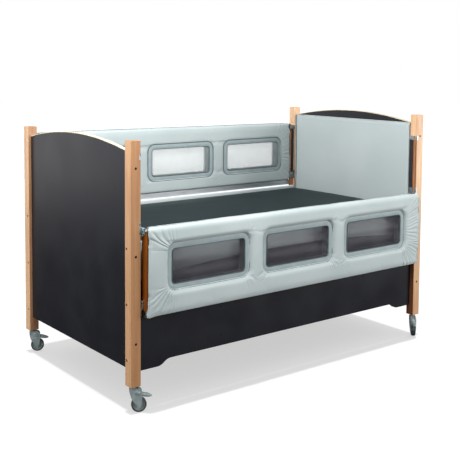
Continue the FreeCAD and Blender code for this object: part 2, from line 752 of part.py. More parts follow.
def button_form(end, side, gap, deeper):
    """The release button's block, or with a gap the slot that it slides in."""
    half, tip = "(button / 2 + %s)" % gap, "-block_front - button_out"
    return box((low_corner(ENDS[end], "%s - %s" % (BLOCK_MID_X, half), "%s + %s" % (BLOCK_MID_X, half)),
                "2 * " + half),
               (depth(side, tip, tip + " + button_long + " + deeper), "button_long + " + deeper),
               (rail_z(side, "rail_high - block_high / 2 - button_high / 2 - " + gap),
                "button_high + 2 * " + gap), "button")


def hollow(make, side, wall, long):
    """A tube or bar along the rail: its outside less its bore, which runs out of both ends."""
    past = long + " + 2 * cut_over"
    if make is top_tube:
        return cut(top_tube(side, "tube / 2", long), [top_tube(side, "tube / 2 - " + wall, past)], "tube")
    return cut(bottom_bar(side, "0", "0", long), [bottom_bar(side, wall, "0", past)], "bar")


def whole_stile(end, side):
    """A stile with eased edges, coped round the top tube that it carries."""
    eased = rounded(stile(end, side), "stile_round", along("Z"), "stile_soft")
    return cut(eased, [top_tube(side, "tube / 2", "2 * %s + 2 * cut_over" % RAIL_X)], "stile")


def both_faces(side, behind, thick, hole=False):
    """The windows' plates on the outer and the inner face of a rail, behind the bindings' front."""
    pieces = []
    for face, (crest, inward, sunk) in FACES.items():
        pieces += window_piece(side, face, sunk + " + " + behind, thick, "binding - soft_gap", hole)
    return pieces


for side in SIDES:
    rail = side + "_rail_"
    node(rail + "top_tube", hollow(top_tube, side, "tube_wall", "2 * " + RAIL_X))
    node(rail + "bottom_bar", hollow(bottom_bar, side, "bar_wall", "2 * " + RAIL_X))
    for end in ENDS:
        node(rail + end + "_stile", whole_stile(end, side))
    node(rail + "cover", rail_cover(side))
    node(rail + "window_panes", both_faces(side, "binding_deep", "pane"))
    node(rail + "window_bindings", both_faces(side, "0", "binding_deep", hole=True))
    node(rail + "slide_blocks", [slide_block(end, side, high) for end in ENDS for high in BLOCK_LOWS])
    for end in ENDS:
        form = button_form(end, side, "0", "0")
        node("%s_%s_release_button" % (end, side), rounded(form, "button / 4", along("Z"), "button_soft"))

stops = []
for end, side in CORNERS:
    ex = ENDS[end]
    y = (depth(side, "slide_gap", "slide_gap + stop_wide"), "stop_wide")
    top = BASE + " + rail_low + block_rise"
    shelf = box((low_corner(ex, IN_X + " - stop", IN_X), "stop"), y,
                (top + " - stop_leg", "stop_leg"), "stop_shelf")
    leg = box((low_corner(ex, IN_X + " - stop_leg", IN_X), "stop_leg"), y,
              (top + " - stop_high", "stop_high"), "stop_leg")
    stops.append(join([shelf, leg], "stop"))
node("rail_stops", stops)


# Castors, each built about its swivel axis with the wheel trailing along +X

TRAIL_TURN = {("foot", "near"): -25, ("foot", "far"): -25, ("head", "near"): -128, ("head", "far"): 150}
AXLE_HIGH = "(wheel / 2)"
FORK_HIGH = "(castor_height - plate - plate_gap - neck_high)"


def fork_outline():
    """The side view of the fork: a cap that tapers down to the axle."""
    w, t = size("fork_wide / 2"), size("trail")
    axle, top = size(AXLE_HIGH), size(FORK_HIGH)
    eye, back, y = size("fork_eye"), size("trail + fork_back"), -w
    shoulder, waist = top - size("fork_shoulder"), size("wheel + fork_waist")
    brow = (back - size("fork_brow"), (top + shoulder) / 2 + size("fork_brow_rise"))
    at = lambda x, z: (x, y, z)
    return filled([
        straight(at(-w, top), at(w, top)),
        bow(at(w, top), at(*brow), at(back, shoulder)),
        straight(at(back, shoulder), at(back, waist)), straight(at(back, waist), at(t + eye, axle)),
        bow(at(t + eye, axle), at(t, axle - eye), at(t - eye, axle)),
        bow(at(t - eye, axle), at(-w + size("fork_brow"), waist), at(-w, top))])


PIVOT_X = "(trail + axle)"
PIVOT_Z = "(wheel + pedal_over_wheel)"


def fork():
    shell = pull(fork_outline(), "fork_wide", "Y", "fork_shell")
    inside = "fork_wide - 2 * fork_wall"
    well = rod("wheel / 2 + plate", inside, "trail", "-(%s) / 2" % inside, AXLE_HIGH, "-Y", "wheel_well")
    bind(well, "Placement.Base.y", "(%s) / 2" % inside)
    below = box(("trail - wheel / 2 - plate", "wheel + 2 * plate"), ("-(%s) / 2" % inside, inside),
                ("0", AXLE_HIGH), "wheel_way")
    notch = box(("trail", "wheel"), ("-fork_notch / 2", "fork_notch"),
                ("wheel", "castor_height"), "pedal_notch")
    axle = rod("axle / 2", "fork_wide + plate", "trail", "(fork_wide + plate) / 2", AXLE_HIGH, "-Y", "axle")
    pin = rod("pedal_pin / 2", "fork_wide", PIVOT_X, "fork_wide / 2", PIVOT_Z, "-Y", "pedal_pin")
    neck = rod("neck / 2", "neck_high", "0", "0", FORK_HIGH, "Z", "neck")
    stem = rod("stem / 2", "stem_high + plate + plate_gap - socket_gap", "0", "0",
               FORK_HIGH + " + neck_high", "Z", "stem")
    return join([cut(shell, [well, below, notch], "fork_shell"), axle, pin, neck, stem], "fork")


def wheel_section(inner, outer, wide, edge):
    """Half of a wheel's section, rounded at its outer corners."""
    w, k = wide / 2, edge * (1 - math.sqrt(0.5))
    at = lambda r, y: (r, y, 0)
    return filled([straight(at(inner, -w), at(outer - edge, -w)),
                   bow(at(outer - edge, -w), at(outer - k, -w + k), at(outer, -w + edge)),
                   straight(at(outer, -w + edge), at(outer, w - edge)),
                   bow(at(outer, w - edge), at(outer - k, w - k), at(outer - edge, w)),
                   straight(at(outer - edge, w), at(inner, w)), straight(at(inner, w), at(inner, -w))])


def ring(inner, outer, wide, edge, name):
    outline = feature(wheel_section(size(inner), size(outer), size(wide), size(edge)), name + "_section")
    return place(turn(outline, "Y", name), "trail", "0", AXLE_HIGH)


def wheel_centre():
    full = ring("axle / 2 + axle_gap", "wheel / 2 - tyre", "wheel_wide - 2 * plate", "web_edge", "wheel")
    dish = [rod("wheel / 2 - tyre - web_rim", "wheel_wide", "trail", y, AXLE_HIGH, "-Y", "dish")
            for y in ("web_half + wheel_wide", "-web_half")]
    hub = ring("axle / 2 + axle_gap", "hub_out", "hub_wide", "hub_edge", "hub")
    return join([cut(full, dish, "wheel_web"), hub], "wheel")


def pedal_arm():
    """The pedal's lever: a bowed strip from its pin down to its toe."""
    x, z, thick = size(PIVOT_X), size(PIVOT_Z), size("pedal_thick")
    reach, drop, sag = size("pedal_long"), size("pedal_drop"), size("pedal_sag")
    top = [(x, z + thick / 2), (x + reach / 2, z + thick / 2 - sag), (x + reach, z + thick / 2 - drop)]
    above = [(a, -size("pedal_arm / 2"), up) for a, up in top]
    below = [(a, y, up - thick) for a, y, up in above]
    arm = filled([bow(*above), straight(above[2], below[2]),
                  bow(*reversed(below)), straight(below[0], above[0])])
    return pull(arm, "pedal_arm", "Y", "pedal_arm")


def pedal():
    hub = rod("pedal_hub", "pedal_arm", PIVOT_X, "pedal_arm / 2", PIVOT_Z, "-Y", "pedal_hub")
    toe = box(("%s + pedal_long - toe_long" % PIVOT_X, "toe_long"), ("-pedal_wide / 2", "pedal_wide"),
              ("%s - toe_drop" % PIVOT_Z, "toe_thick"), "pedal_toe")
    middle = size(PIVOT_X + " + pedal_long - toe_long / 2")
    front = lambda edge: along("Z")(edge) and edge.Vertexes[0].X > middle
    toe_soft = rounded(toe, "toe_round", front, "pedal_toe")
    bore = rod("pedal_pin / 2 + axle_gap", "pedal_wide", PIVOT_X, "pedal_wide / 2",
               PIVOT_Z, "-Y", "pedal_bore")
    return cut(join([hub, pedal_arm(), toe_soft], "pedal_body"), [bore], "pedal")


sockets = []
for end, side in CORNERS:
    ex, sy = ENDS[end], SIDES[side]
    x = flip(ex, "%s - %s" % (OUT_X, MID_POST))
    y = flip(sy, "%s - %s" % (OUT_Y, MID_POST))
    name = "%s_%s_castor_" % (end, side)
    spin = FreeCAD.Rotation(AXES["Z"], TRAIL_TURN[(end, side)])
    for piece, made in (("fork", fork()), ("wheel", wheel_centre()),
                        ("tyre", ring("wheel / 2 - tyre", "wheel / 2", "wheel_wide", "tyre_edge", "tyre")),
                        ("pedal", pedal())):
        holder = fresh("Part::Compound", name + piece)
        holder.Links = [made]
        holder.Placement.Rotation = spin
        node(name + piece, place(holder, x, y, "0"))
    sleeve = rod("stem / 2 + socket_wall - socket_gap", "stem_high", x, y, BASE, "Z", "sleeve")
    flange = box((x + " - plate_wide / 2", "plate_wide"), (y + " - plate_wide / 2", "plate_wide"),
                 (BASE + " - plate", "plate"), "flange")
    bore = rod("stem / 2 + axle_gap", "stem_high + 2 * plate + socket_wall", x, y,
               BASE + " - 2 * plate", "Z", "socket_bore")
    sockets.append(cut(join([sleeve, flange], "socket"), [bore], "socket"))
node("castor_sockets", sockets)


# Check every object, then write one file for each sub-part

doc.recompute()
faults = [obj.Name for obj in doc.Objects if "Invalid" in obj.State or "Error" in obj.State]
if faults:
    raise RuntimeError("failed objects: %s" % faults)
os.makedirs("parts", exist_ok=True)
for label, obj in nodes.items():
    shape = obj.Shape
    if shape.isNull() or not shape.isValid():
        raise RuntimeError("bad shape: " + label)
    shape.exportStep("parts/%s.step" % label)
print(len(nodes), "sub-parts written")
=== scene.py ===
"""A windowed safety bed, dressed: timber, laminate, fabric, clear sheet, metal and castors."""

import json
import math

import bpy
from mathutils import Matrix, Vector, noise


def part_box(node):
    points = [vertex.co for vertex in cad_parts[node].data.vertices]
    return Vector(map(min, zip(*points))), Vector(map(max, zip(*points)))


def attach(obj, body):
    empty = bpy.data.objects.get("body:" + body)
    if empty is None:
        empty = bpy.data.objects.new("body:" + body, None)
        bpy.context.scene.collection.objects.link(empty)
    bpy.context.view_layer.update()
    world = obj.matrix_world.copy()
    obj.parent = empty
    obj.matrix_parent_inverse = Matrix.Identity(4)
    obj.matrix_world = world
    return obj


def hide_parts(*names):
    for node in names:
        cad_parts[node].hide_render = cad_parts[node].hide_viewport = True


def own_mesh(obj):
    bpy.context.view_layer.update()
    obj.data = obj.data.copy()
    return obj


bl_info = {
    "name": "Safety Bed Dresser",
    "version": (1, 0, 0),
    "blender": (4, 5, 0),
    "location": "3D View > Sidebar > Safety Bed",
    "description": "Dresses the frame of a windowed safety bed: timber, boards, pads, covers and castors",
    "category": "Object",
}

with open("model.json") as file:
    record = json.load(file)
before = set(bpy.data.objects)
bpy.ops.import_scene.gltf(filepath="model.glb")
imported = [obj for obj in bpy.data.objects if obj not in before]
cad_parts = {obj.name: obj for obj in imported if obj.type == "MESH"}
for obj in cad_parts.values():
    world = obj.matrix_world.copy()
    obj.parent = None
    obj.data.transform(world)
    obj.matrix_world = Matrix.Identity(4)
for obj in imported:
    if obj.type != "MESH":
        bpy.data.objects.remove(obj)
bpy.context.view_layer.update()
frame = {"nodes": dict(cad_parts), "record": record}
NODES = frame["nodes"]
SLOT_OF = {part["node"]: part["material_slot"] for part in frame["record"]["subparts"]}

# Sides, ends and corners
SIDES = {"near": -1, "far": 1}
ENDS = {"foot": -1, "head": 1}
CORNERS = [(end, side) for end in ENDS for side in SIDES]


# Colours


def linear(level):
    """A screen level from 0 to 255 as the linear value that a shader takes."""
    share = level / 255
    return ((share + 0.055) / 1.055) ** 2.4 if level > 10 else share / 12.92


def shade_of(colour):
    """A screen colour as a linear one with full cover."""
    return (*(linear(level) for level in colour), 1.0)


def grey(level):
    """An even linear grey with full cover."""
    return (level, level, level, 1.0)


# Materials


class Wire:
    """A number or a colour inside a node tree. Sums written with it add Math nodes."""

    def __init__(self, nodes, socket):
        self.nodes = nodes
        self.socket = socket

    def _maths(self, operation, *values):
        return self.nodes.add("ShaderNodeMath", dict(enumerate(values)), operation=operation)

    def __add__(self, other):
        return self._maths("ADD", self, other)

    def __sub__(self, other):
        return self._maths("SUBTRACT", self, other)

    def __mul__(self, other):
        return self._maths("MULTIPLY", self, other)

    def __rsub__(self, other):
        return self._maths("SUBTRACT", other, self)

    def __abs__(self):
        return self._maths("ABSOLUTE", self)

    def sine(self):
        return self._maths("SINE", self)

    def above(self, edge):
        return self._maths("GREATER_THAN", self, edge)

    def least(self, other):
        return self._maths("MINIMUM", self, other)

    def most(self, other):
        return self._maths("MAXIMUM", self, other)

    def eased(self, low, high):
        """0 below low, 1 above high and a smooth step between."""
        values = {"Value": self, "From Min": low, "From Max": high}
        return self.nodes.add("ShaderNodeMapRange", values, interpolation_type="SMOOTHSTEP")

    def spread(self, low, high):
        """Low where this is 0, high where it is 1, and even between."""
        return self.nodes.add("ShaderNodeMapRange", {"Value": self, "To Min": low, "To Max": high})

    def _mix(self, factor, first, second, **settings):
        values = {"Factor": factor, "A": first, "B": second}
        return self.nodes.add("ShaderNodeMix", values, output="Result", data_type="RGBA", **settings)

    def between(self, first, second):
        """The colour that lies this far from the first to the second."""
        return self._mix(self, first, second)

    def shades(self, first, second):
        """The colour that lies this far from one screen colour to another."""
        return self.between(shade_of(first), shade_of(second))

    def tinted(self, tint):
        """This colour multiplied by a screen colour."""
        return self._mix(1.0, self, shade_of(tint), blend_type="MULTIPLY")


class Nodes:
    """A node tree and what is added to it."""

    def __init__(self, tree):
        self.tree = tree

    def add(self, kind, values=None, output=0, **settings):
        """Adds a node: its settings, then what its sockets take. Gives one output as a wire."""
        node = self.tree.nodes.new(kind)
        for name, setting in settings.items():
            setattr(node, name, setting)
        for key, value in (values or {}).items():
            self.feed(self._enabled(node.inputs, key), value)
        return Wire(self, self._enabled(node.outputs, output))

    @staticmethod
    def _enabled(sockets, key):
        """A socket by its number or name. Of several with one name, the one in use."""
        if isinstance(key, int):
            return sockets[key]
        return next(s for s in sockets if s.name == key and s.enabled)

    def feed(self, socket, value):
        """Sets a socket to a value, or links a wire to it."""
        if isinstance(value, Wire):
            self.tree.links.new(value.socket, socket)
        else:
            socket.default_value = value

    def ray(self, kind):
        """1 where a ray is of this kind, else 0."""
        return self.add("ShaderNodeLightPath", output=kind)

    def seen_directly(self):
        """1 where a ray comes from the camera, straight or through clear sheet, and 0 for plain light."""
        return self.ray("Is Camera Ray").most(self.ray("Is Transmission Ray"))


class Finish(Nodes):
    """A material, its shader and the nodes that feed it."""

    def __init__(self, name, **constants):
        self.name = name
        self.material = bpy.data.materials.new(name)
        self.material.use_nodes = True
        super().__init__(self.material.node_tree)
        self.shader = self.tree.nodes["Principled BSDF"]
        self.set(**constants)

    def set(self, **values):
        """Feeds the shader's own sockets."""
        for name, value in values.items():
            self.feed(self.shader.inputs[name.replace("_", " ")], value)
        return self

    def place(self, scale=(1, 1, 1)):
        """The point on the piece, in metres, stretched."""
        point = self.add("ShaderNodeTexCoord", output="Object")
        return self.add("ShaderNodeMapping", {"Vector": point, "Scale": scale})

    def axes(self, point):
        """The three numbers of a point."""
        parts = self.add("ShaderNodeSeparateXYZ", {"Vector": point}).socket.node
        return [Wire(self, socket) for socket in parts.outputs]

    def noise(self, scale, detail=2.0, stretch=(1, 1, 1), roughness=0.5, distortion=0.0):
        """Drifting noise over the piece, the larger its scale the finer."""
        values = {"Vector": self.place(stretch), "Scale": scale, "Detail": detail,
                  "Roughness": roughness, "Distortion": distortion}
        return self.add("ShaderNodeTexNoise", values)

    def patches(self, scale, detail, low=0.3, high=0.7):
        """Soft patches, 0 in some places and 1 in others."""
        return self.noise(scale, detail).eased(low, high)

    def bump(self, height, depth, strength):
        """Raises the surface by a height from 0 to 1 times depth in metres, over what is bumped already."""
        values = {"Height": height, "Distance": depth, "Strength": strength}
        normal = self.shader.inputs["Normal"]
        if normal.is_linked:
            values["Normal"] = Wire(self, normal.links[0].from_socket)
        self.feed(normal, self.add("ShaderNodeBump", values))
        return self


def grain(finish, light, dark, line_width, along, pore_depth=0.0002):
    """Wood whose grain runs along one axis: long streaks, fine pores and a slow change of tone.

    Gives its colour and its streaks.
    """
    stretch = [1.0, 1.0, 1.0]
    stretch["XYZ".index(along)] = 0.045
    lines = finish.noise(1 / line_width, 4.0, stretch, roughness=0.55, distortion=0.25)
    streaks = lines.eased(0.3, 0.72)
    pores = finish.noise(6 / line_width, 2.0, stretch).eased(0.54, 0.7)
    tone = finish.patches(2.2, 1.0)
    colour = (streaks * 0.6 + tone * 0.3 + pores * 0.35).least(1.0).shades(light, dark)
    finish.bump(streaks * 0.5 + pores, pore_depth, 0.35)
    return colour, streaks


def wood(name, light, dark, line_width, along, rough, pore_depth=0.0002, **constants):
    """One kind of wood all over. Rough gives the span and the base of its roughness."""
    finish = Finish(name, **constants)
    colour, streaks = grain(finish, light, dark, line_width, along, pore_depth)
    return finish.set(Base_Color=colour, Roughness=streaks * rough[0] + rough[1])


# Where the posts' faces lie, each as a narrow step: the outer end, the inner end and the inner side
OUTER_END = (1.0482, 1.0494)
INNER_END = (0.9942, 0.9948)
INNER_SIDE = (0.5342, 0.5348)
# Up to where the posts' inner faces get painted shade, and how the painted shade that darkens the posts
# towards the near foot corner and low down fades along and up
SHADED_UP_TO = (1.232, 1.238)
PAINTED_SHADE_ALONG, PAINTED_SHADE_ALONG_SHARE = (-2.4, 1.2), 1.15
PAINTED_SHADE_UP, PAINTED_SHADE_UP_SHARE = (0.1, 1.2), 0.6
# Share by which the painted shade is lessened on the outer end faces, which face the light
OUTER_END_LESS_SHADE = 0.28
# How strong the painted shade on the posts' inner side faces is
SIDE_SHADE = 0.55


def beech_finish():
    """Clear-lacquered beech, grain up the post, with painted shade: darker near the ground and towards the
    near foot corner, less on the outer end faces, and darker on the inner faces towards the pads.
    """
    finish = Finish("beech", Coat_Weight=0.15, Coat_Roughness=0.3)
    colour, streaks = grain(finish, (230, 196, 158), (204, 158, 120), 0.011, "Z")
    across, deep, up = finish.axes(finish.place())
    # Painted shade: the posts darken towards the near foot corner and low down, less on the outer end faces
    along = PAINTED_SHADE_ALONG_SHARE - (across + deep).eased(*PAINTED_SHADE_ALONG) * PAINTED_SHADE_ALONG_SHARE
    painted_shade = along.most(PAINTED_SHADE_UP_SHARE - up.eased(*PAINTED_SHADE_UP) * PAINTED_SHADE_UP_SHARE).least(1.0)
    painted_shade = painted_shade * (1 - abs(across).eased(*OUTER_END) * OUTER_END_LESS_SHADE)
    # The painted shade tints the wood browner
    colour = painted_shade.between(colour, colour.tinted((184, 162, 138)))
    # Painted shade on the posts' inner end and side faces, up to a set height on the head posts
    low = 1 - up.eased(*SHADED_UP_TO)
    shaded_end_face = (1 - abs(across).eased(*INNER_END)) * low
    shaded_side_face = (1 - abs(deep).eased(*INNER_SIDE)) * (across * -1).eased(0, 0.1).most(low) * SIDE_SHADE
    colour = shaded_end_face.most(shaded_side_face).between(colour, colour.tinted((158, 124, 104)))
    return finish.set(Base_Color=colour, Roughness=streaks * 0.1 + 0.38)


def board_finish():
    """Black satin laminate with a fine grained surface, and bare wood where its lower edges were sawn."""
    finish = Finish("black_board", Specular_IOR_Level=0.4)
    haze = finish.patches(5.0, 3.0, 0.25, 0.75)
    faced = haze.shades((19, 20, 26), (24, 25, 32))
    saw = finish.noise(420.0, 2.0, (0.05, 1, 1))
    sawn = saw.eased(0.3, 0.7).shades((205, 160, 112), (150, 104, 66))
    facing = finish.axes(finish.add("ShaderNodeTexCoord", output="Normal"))[2]
    down = (facing * -1).eased(0.5, 0.8)
    finish.bump(finish.noise(900.0), 0.00006, 0.3)
    return finish.set(Base_Color=down.between(faced, sawn), Roughness=haze * 0.06 + down * 0.25 + 0.34)


def woven(name, low, high, thread, depth, strength, patches, share, rough, **constants):
    """Coated fabric in plain weave, threads over and under along X and along the other way of the face."""
    finish = Finish(name, **constants)
    turns = 2 * math.pi / thread
    across, deep, up = finish.axes(finish.place())
    height = (across * turns).sine() * ((up + deep) * turns).sine() * 0.5 + 0.5
    finish.bump(height, depth, strength)
    colour = (finish.patches(*patches) * (1 - share) + height * share).shades(low, high)
    return finish.set(Base_Color=colour, Roughness=height * rough[0] + rough[1])


def cover_finish():
    """Coated pale sage fabric of the rail covers, with a close weave and a little soiling of tone."""
    finish = woven("cover_fabric", (157, 168, 169), (169, 179, 179), 0.0016, 0.00012, 0.35, (3.0, 3.0), 0.3,
                   (0.1, 0.56), Sheen_Weight=0.25, Sheen_Roughness=0.4)
    return finish.bump(finish.noise(26.0, 3.0), 0.0016, 0.35)


def liner_finish():
    """The pads' slightly paler fabric, a soft close weave."""
    finish = woven("liner_fabric", (163, 173, 174), (174, 183, 184), 0.0016, 0.00012, 0.35, (2.4, 3.0), 0.3,
                   (0.1, 0.6), Sheen_Weight=0.2, Sheen_Roughness=0.4)
    return finish.bump(finish.noise(18.0), 0.0014, 0.3)


def binding_finish():
    """The flat bindings round the windows: a darker coated band with a fine rib."""
    return woven("binding_fabric", (130, 144, 147), (144, 158, 161), 0.0012, 0.0001, 0.3, (30.0, 2.0), 0.4,
                 (0.1, 0.5), Sheen_Weight=0.1)


def mattress_finish():
    """Dark grey-green coated mattress cover with shallow creases."""
    finish = woven("mattress_fabric", (20, 31, 33), (27, 39, 41), 0.002, 0.00012, 0.3, (4.0, 4.0), 0.3,
                   (0.12, 0.6), Specular_IOR_Level=0.2)
    return finish.bump(finish.noise(9.0, 4.0, (1, 2.2, 1), distortion=0.6), 0.004, 0.4)


# How much the clear sheet covers: everywhere, more where seen edge-on, where hazy and on the far side,
# where its pale tint is painted light from behind
CLEAR_COVER = 0.11
EDGE_ON_COVER = 0.15
HAZE_COVER = 0.02
FAR_LIGHT_COVER = 0.06


def clear_finish():
    """Clear flexible sheet, mostly seen through: dark tint on the near side and a pale tint on the far side
    as painted light from behind, faintly hazy, softly glossy.
    """
    finish = Finish("clear_sheet", Roughness=0.16, Specular_IOR_Level=0.25)
    haze = finish.patches(12.0, 2.0)
    edge_on = finish.add("ShaderNodeLayerWeight", {"Blend": 0.35}, output="Facing")
    far = finish.axes(finish.place())[1].above(0)
    dark = haze.shades((78, 76, 84), (94, 92, 100))
    # Painted light: the far side's sheets take a pale tint for the light behind them
    tint = far.between(dark, haze.shades((178, 190, 190), (200, 210, 210)))
    finish.bump(finish.noise(5.0, 1.0), 0.002, 0.15)
    cover = edge_on * EDGE_ON_COVER + haze * HAZE_COVER + far * FAR_LIGHT_COVER + CLEAR_COVER
    return finish.set(Base_Color=tint, Alpha=cover.least(1.0))


def brushed_finish():
    """Satin anodised aluminium drawn along X."""
    finish = Finish("satin_aluminium", Metallic=1.0)
    lines = finish.noise(700.0, 2.0, (0.02, 1, 1))
    colour = lines.eased(0.3, 0.7).shades((196, 200, 204), (214, 217, 220))
    finish.bump(lines, 0.00004, 0.4)
    return finish.set(Base_Color=colour, Roughness=lines * 0.16 + 0.24)


def plate_finish():
    """Zinc-plated steel with its faint mottled bloom."""
    finish = Finish("zinc_plate", Metallic=1.0)
    values = {"Vector": finish.place(), "Scale": 160.0}
    cells = finish.add("ShaderNodeTexVoronoi", values, output="Distance")
    bloom = finish.patches(60.0, 3.0)
    colour = (bloom * 0.7 + cells * 0.3).shades((182, 188, 190), (210, 214, 216))
    return finish.set(Base_Color=colour, Roughness=bloom * 0.14 + 0.26)


def steel_finish(name, low, high, rough):
    """Dark bolt heads or bright sockets, turned on a lathe."""
    finish = Finish(name, Metallic=1.0)
    wear = finish.patches(220.0, 3.0, 0.35, 0.7)
    colour = wear.shades((low, low, low + 2), (high, high, high + 2))
    finish.bump(wear, 0.00005, 0.4)
    return finish.set(Base_Color=colour, Roughness=wear * 0.15 + rough)


def moulded_finish(name, low, high, rough):
    """Moulded plastic or rubber: an even colour with the mould's fine texture and slight rubbed patches."""
    finish = Finish(name)
    rubbed = finish.patches(45.0, 3.0, 0.35, 0.75)
    finish.bump(finish.noise(1400.0, 1.0), 0.00008, 0.35)
    return finish.set(Base_Color=rubbed.shades(low, high), Roughness=rubbed * 0.12 + rough)


def all_finishes():
    """Every finish by its name, which is the record's slot where the record has one."""
    finishes = [
        beech_finish(),
        wood("stile_wood", (128, 66, 1), (84, 38, 1), 0.008, "Z", (0.12, 0.34),
             Coat_Weight=0.1, Coat_Roughness=0.3, Specular_IOR_Level=0.3),
        wood("pale_band", (214, 204, 180), (196, 180, 150), 0.006, "Y", (0.1, 0.45), 0.00008),
        wood("pine", (232, 204, 158), (206, 166, 112), 0.014, "Y", (0.12, 0.52)),
        board_finish(),
        cover_finish(),
        liner_finish(),
        binding_finish(),
        mattress_finish(),
        clear_finish(),
        brushed_finish(),
        plate_finish(),
        steel_finish("dark_steel", 38, 62, 0.34),
        steel_finish("socket_steel", 150, 182, 0.26),
        moulded_finish("teal_button", (70, 122, 122), (88, 140, 138), 0.36),
        moulded_finish("black_plastic", (28, 28, 30), (40, 40, 43), 0.4),
        # Dark cords at the bindings: piping, and painted shadow lines along them
        moulded_finish("piping_and_shadow_line", (60, 74, 78), (74, 88, 92), 0.6),
        # The window lining's dark colour is painted shade inside each window's recess
        moulded_finish("shaded_window_lining", (62, 68, 71), (78, 84, 87), 0.7),
        moulded_finish("castor_tyre", (46, 52, 54), (62, 68, 70), 0.5),
        moulded_finish("castor_plastic", (118, 130, 131), (138, 150, 150), 0.34),
    ]
    return {finish.name: finish for finish in finishes}


# Modelling helpers


def alone(*objects):
    """Leaves object mode as the mode, these objects selected and the last of them active."""
    if bpy.context.object and bpy.context.object.mode != "OBJECT":
        bpy.ops.object.mode_set(mode="OBJECT")
    bpy.ops.object.select_all(action="DESELECT")
    for obj in objects:
        obj.select_set(True)
        bpy.context.view_layer.objects.active = obj
    return objects[-1] if objects else None


def editing(obj):
    """Starts edit mode on one object, all of it selected."""
    alone(obj)
    bpy.ops.object.mode_set(mode="EDIT")
    bpy.ops.mesh.select_all(action="SELECT")
    return obj


def edited():
    """Ends edit mode, and lets the changed mesh be read."""
    bpy.ops.object.mode_set(mode="OBJECT")
    bpy.context.object.data.update()
    return bpy.context.object


def linked(name, data):
    """A new object in the scene that shows this data."""
    obj = bpy.data.objects.new(name, data)
    bpy.context.scene.collection.objects.link(obj)
    return obj


def joined(name, pieces):
    """Joins pieces into one mesh with this name, its place in its mesh."""
    obj = alone(*pieces)
    if len(pieces) > 1:
        bpy.ops.object.join()
    bpy.ops.object.transform_apply(location=True, rotation=True, scale=True)
    obj.name = name
    return obj


def applied(obj, kind, **settings):
    """Adds a modifier, sets it up and applies it."""
    alone(obj)
    modifier = obj.modifiers.new(kind.title(), kind)
    for name, setting in settings.items():
        setattr(modifier, name, setting)
    bpy.ops.object.modifier_apply(modifier=modifier.name)
    return obj


def dressed(obj, slot, body, *nodes, finish=None):
    """Gives a finished piece its material, its body and the CAD nodes that it stands for."""
    obj.data.materials.clear()
    obj.data.materials.append(FINISHES[finish or slot].material)
    for face in obj.data.polygons:
        face.use_smooth = True
    if nodes:
        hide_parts(*nodes)
    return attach(obj, body)


def copy_of(node, name):
    """A merged copy of a CAD node's mesh, to be shaped further."""
    obj = linked(name, NODES[node].data.copy())
    editing(obj)
    bpy.ops.mesh.remove_doubles(threshold=0.00002)
    return edited()


def sized(obj, size):
    """Stretches a new primitive, with the stretch in its mesh."""
    obj.scale = size
    bpy.ops.object.transform_apply(location=False, rotation=False, scale=True)
    return obj


def tube(name, points, radius, closed=True):
    """A round cord of fabric laid along points, closed into a loop or capped."""
    curve = bpy.data.curves.new(name, "CURVE")
    curve.dimensions = "3D"
    curve.bevel_depth = radius
    curve.bevel_resolution = 2
    curve.use_fill_caps = not closed
    spline = curve.splines.new("POLY")
    spline.points.add(len(points) - 1)
    for point, place in zip(spline.points, points):
        point.co = (*place, 1)
    spline.use_cyclic_u = closed
    alone(linked(name, curve))
    bpy.ops.object.convert(target="MESH")
    return bpy.context.object


def slot_outline(across, up, wide, high, radius, steps=6):
    """Points round a rectangle with round corners, centred on (across, up)."""
    points = []
    for corner in range(4):
        start = math.pi / 2 * corner
        side_x = 1 if corner in (0, 3) else -1
        side_z = 1 if corner in (0, 1) else -1
        middle = (across + side_x * (wide / 2 - radius), up + side_z * (high / 2 - radius))
        for step in range(steps + 1):
            angle = start + math.pi / 2 * step / steps
            points.append((middle[0] + radius * math.cos(angle), middle[1] + radius * math.sin(angle)))
    return points


def eased(value, low, high):
    """0 below low, 1 above high, smooth between."""
    share = min(max((value - low) / (high - low), 0), 1)
    return share * share * (3 - 2 * share)


# Soft goods

# How many steps the stuffing takes to settle
SIM_FRAMES = 20


def blown(obj, voxel, pressure, cap, slack=0.0, held=None):
    """Remeshes a pad and blows it up as stuffed cloth. No point moves past the cap, and held ones stay."""
    applied(obj, "REMESH", mode="VOXEL", voxel_size=voxel)
    rest = [vertex.co.copy() for vertex in obj.data.vertices]
    cloth = obj.modifiers.new("Cloth", "CLOTH")
    cloth.point_cache.frame_start = 1
    cloth.point_cache.frame_end = SIM_FRAMES
    settings = cloth.settings
    settings.use_pressure = True
    settings.uniform_pressure_force = pressure
    settings.effector_weights.gravity = 0.0
    settings.shrink_min = -slack
    if held:
        group = obj.vertex_groups.new(name="held")
        group.add([i for i, place in enumerate(rest) if held(place)], 1.0, "REPLACE")
        settings.vertex_group_mass = "held"
    for number in range(1, SIM_FRAMES + 1):
        bpy.context.scene.frame_set(number)
    bpy.ops.object.modifier_apply(modifier=cloth.name)
    bpy.context.scene.frame_set(1)
    for vertex, start in zip(obj.data.vertices, rest):
        move = vertex.co - start
        if move.length > cap:
            vertex.co = start + move.normalized() * cap
    obj.vertex_groups.clear()
    return obj


def kept_in(obj, low, high):
    """Flattens a pad where it would reach past a box: it rests on what is there."""
    for vertex in obj.data.vertices:
        for axis in range(3):
            vertex.co[axis] = min(max(vertex.co[axis], low[axis]), high[axis])


def slimmer(obj, amount):
    """Draws a pad in a little before it is blown up."""
    editing(obj)
    bpy.ops.transform.shrink_fatten(value=-amount)
    return edited()


def length(name, description, default):
    """A length in metres that can be set in the sidebar."""
    return bpy.props.FloatProperty(name=name, description=description, default=default, unit="LENGTH")


def angle(name, description, degrees):
    """An angle that can be set in the sidebar."""
    return bpy.props.FloatProperty(
        name=name, description=description, default=math.radians(degrees), subtype="ANGLE")


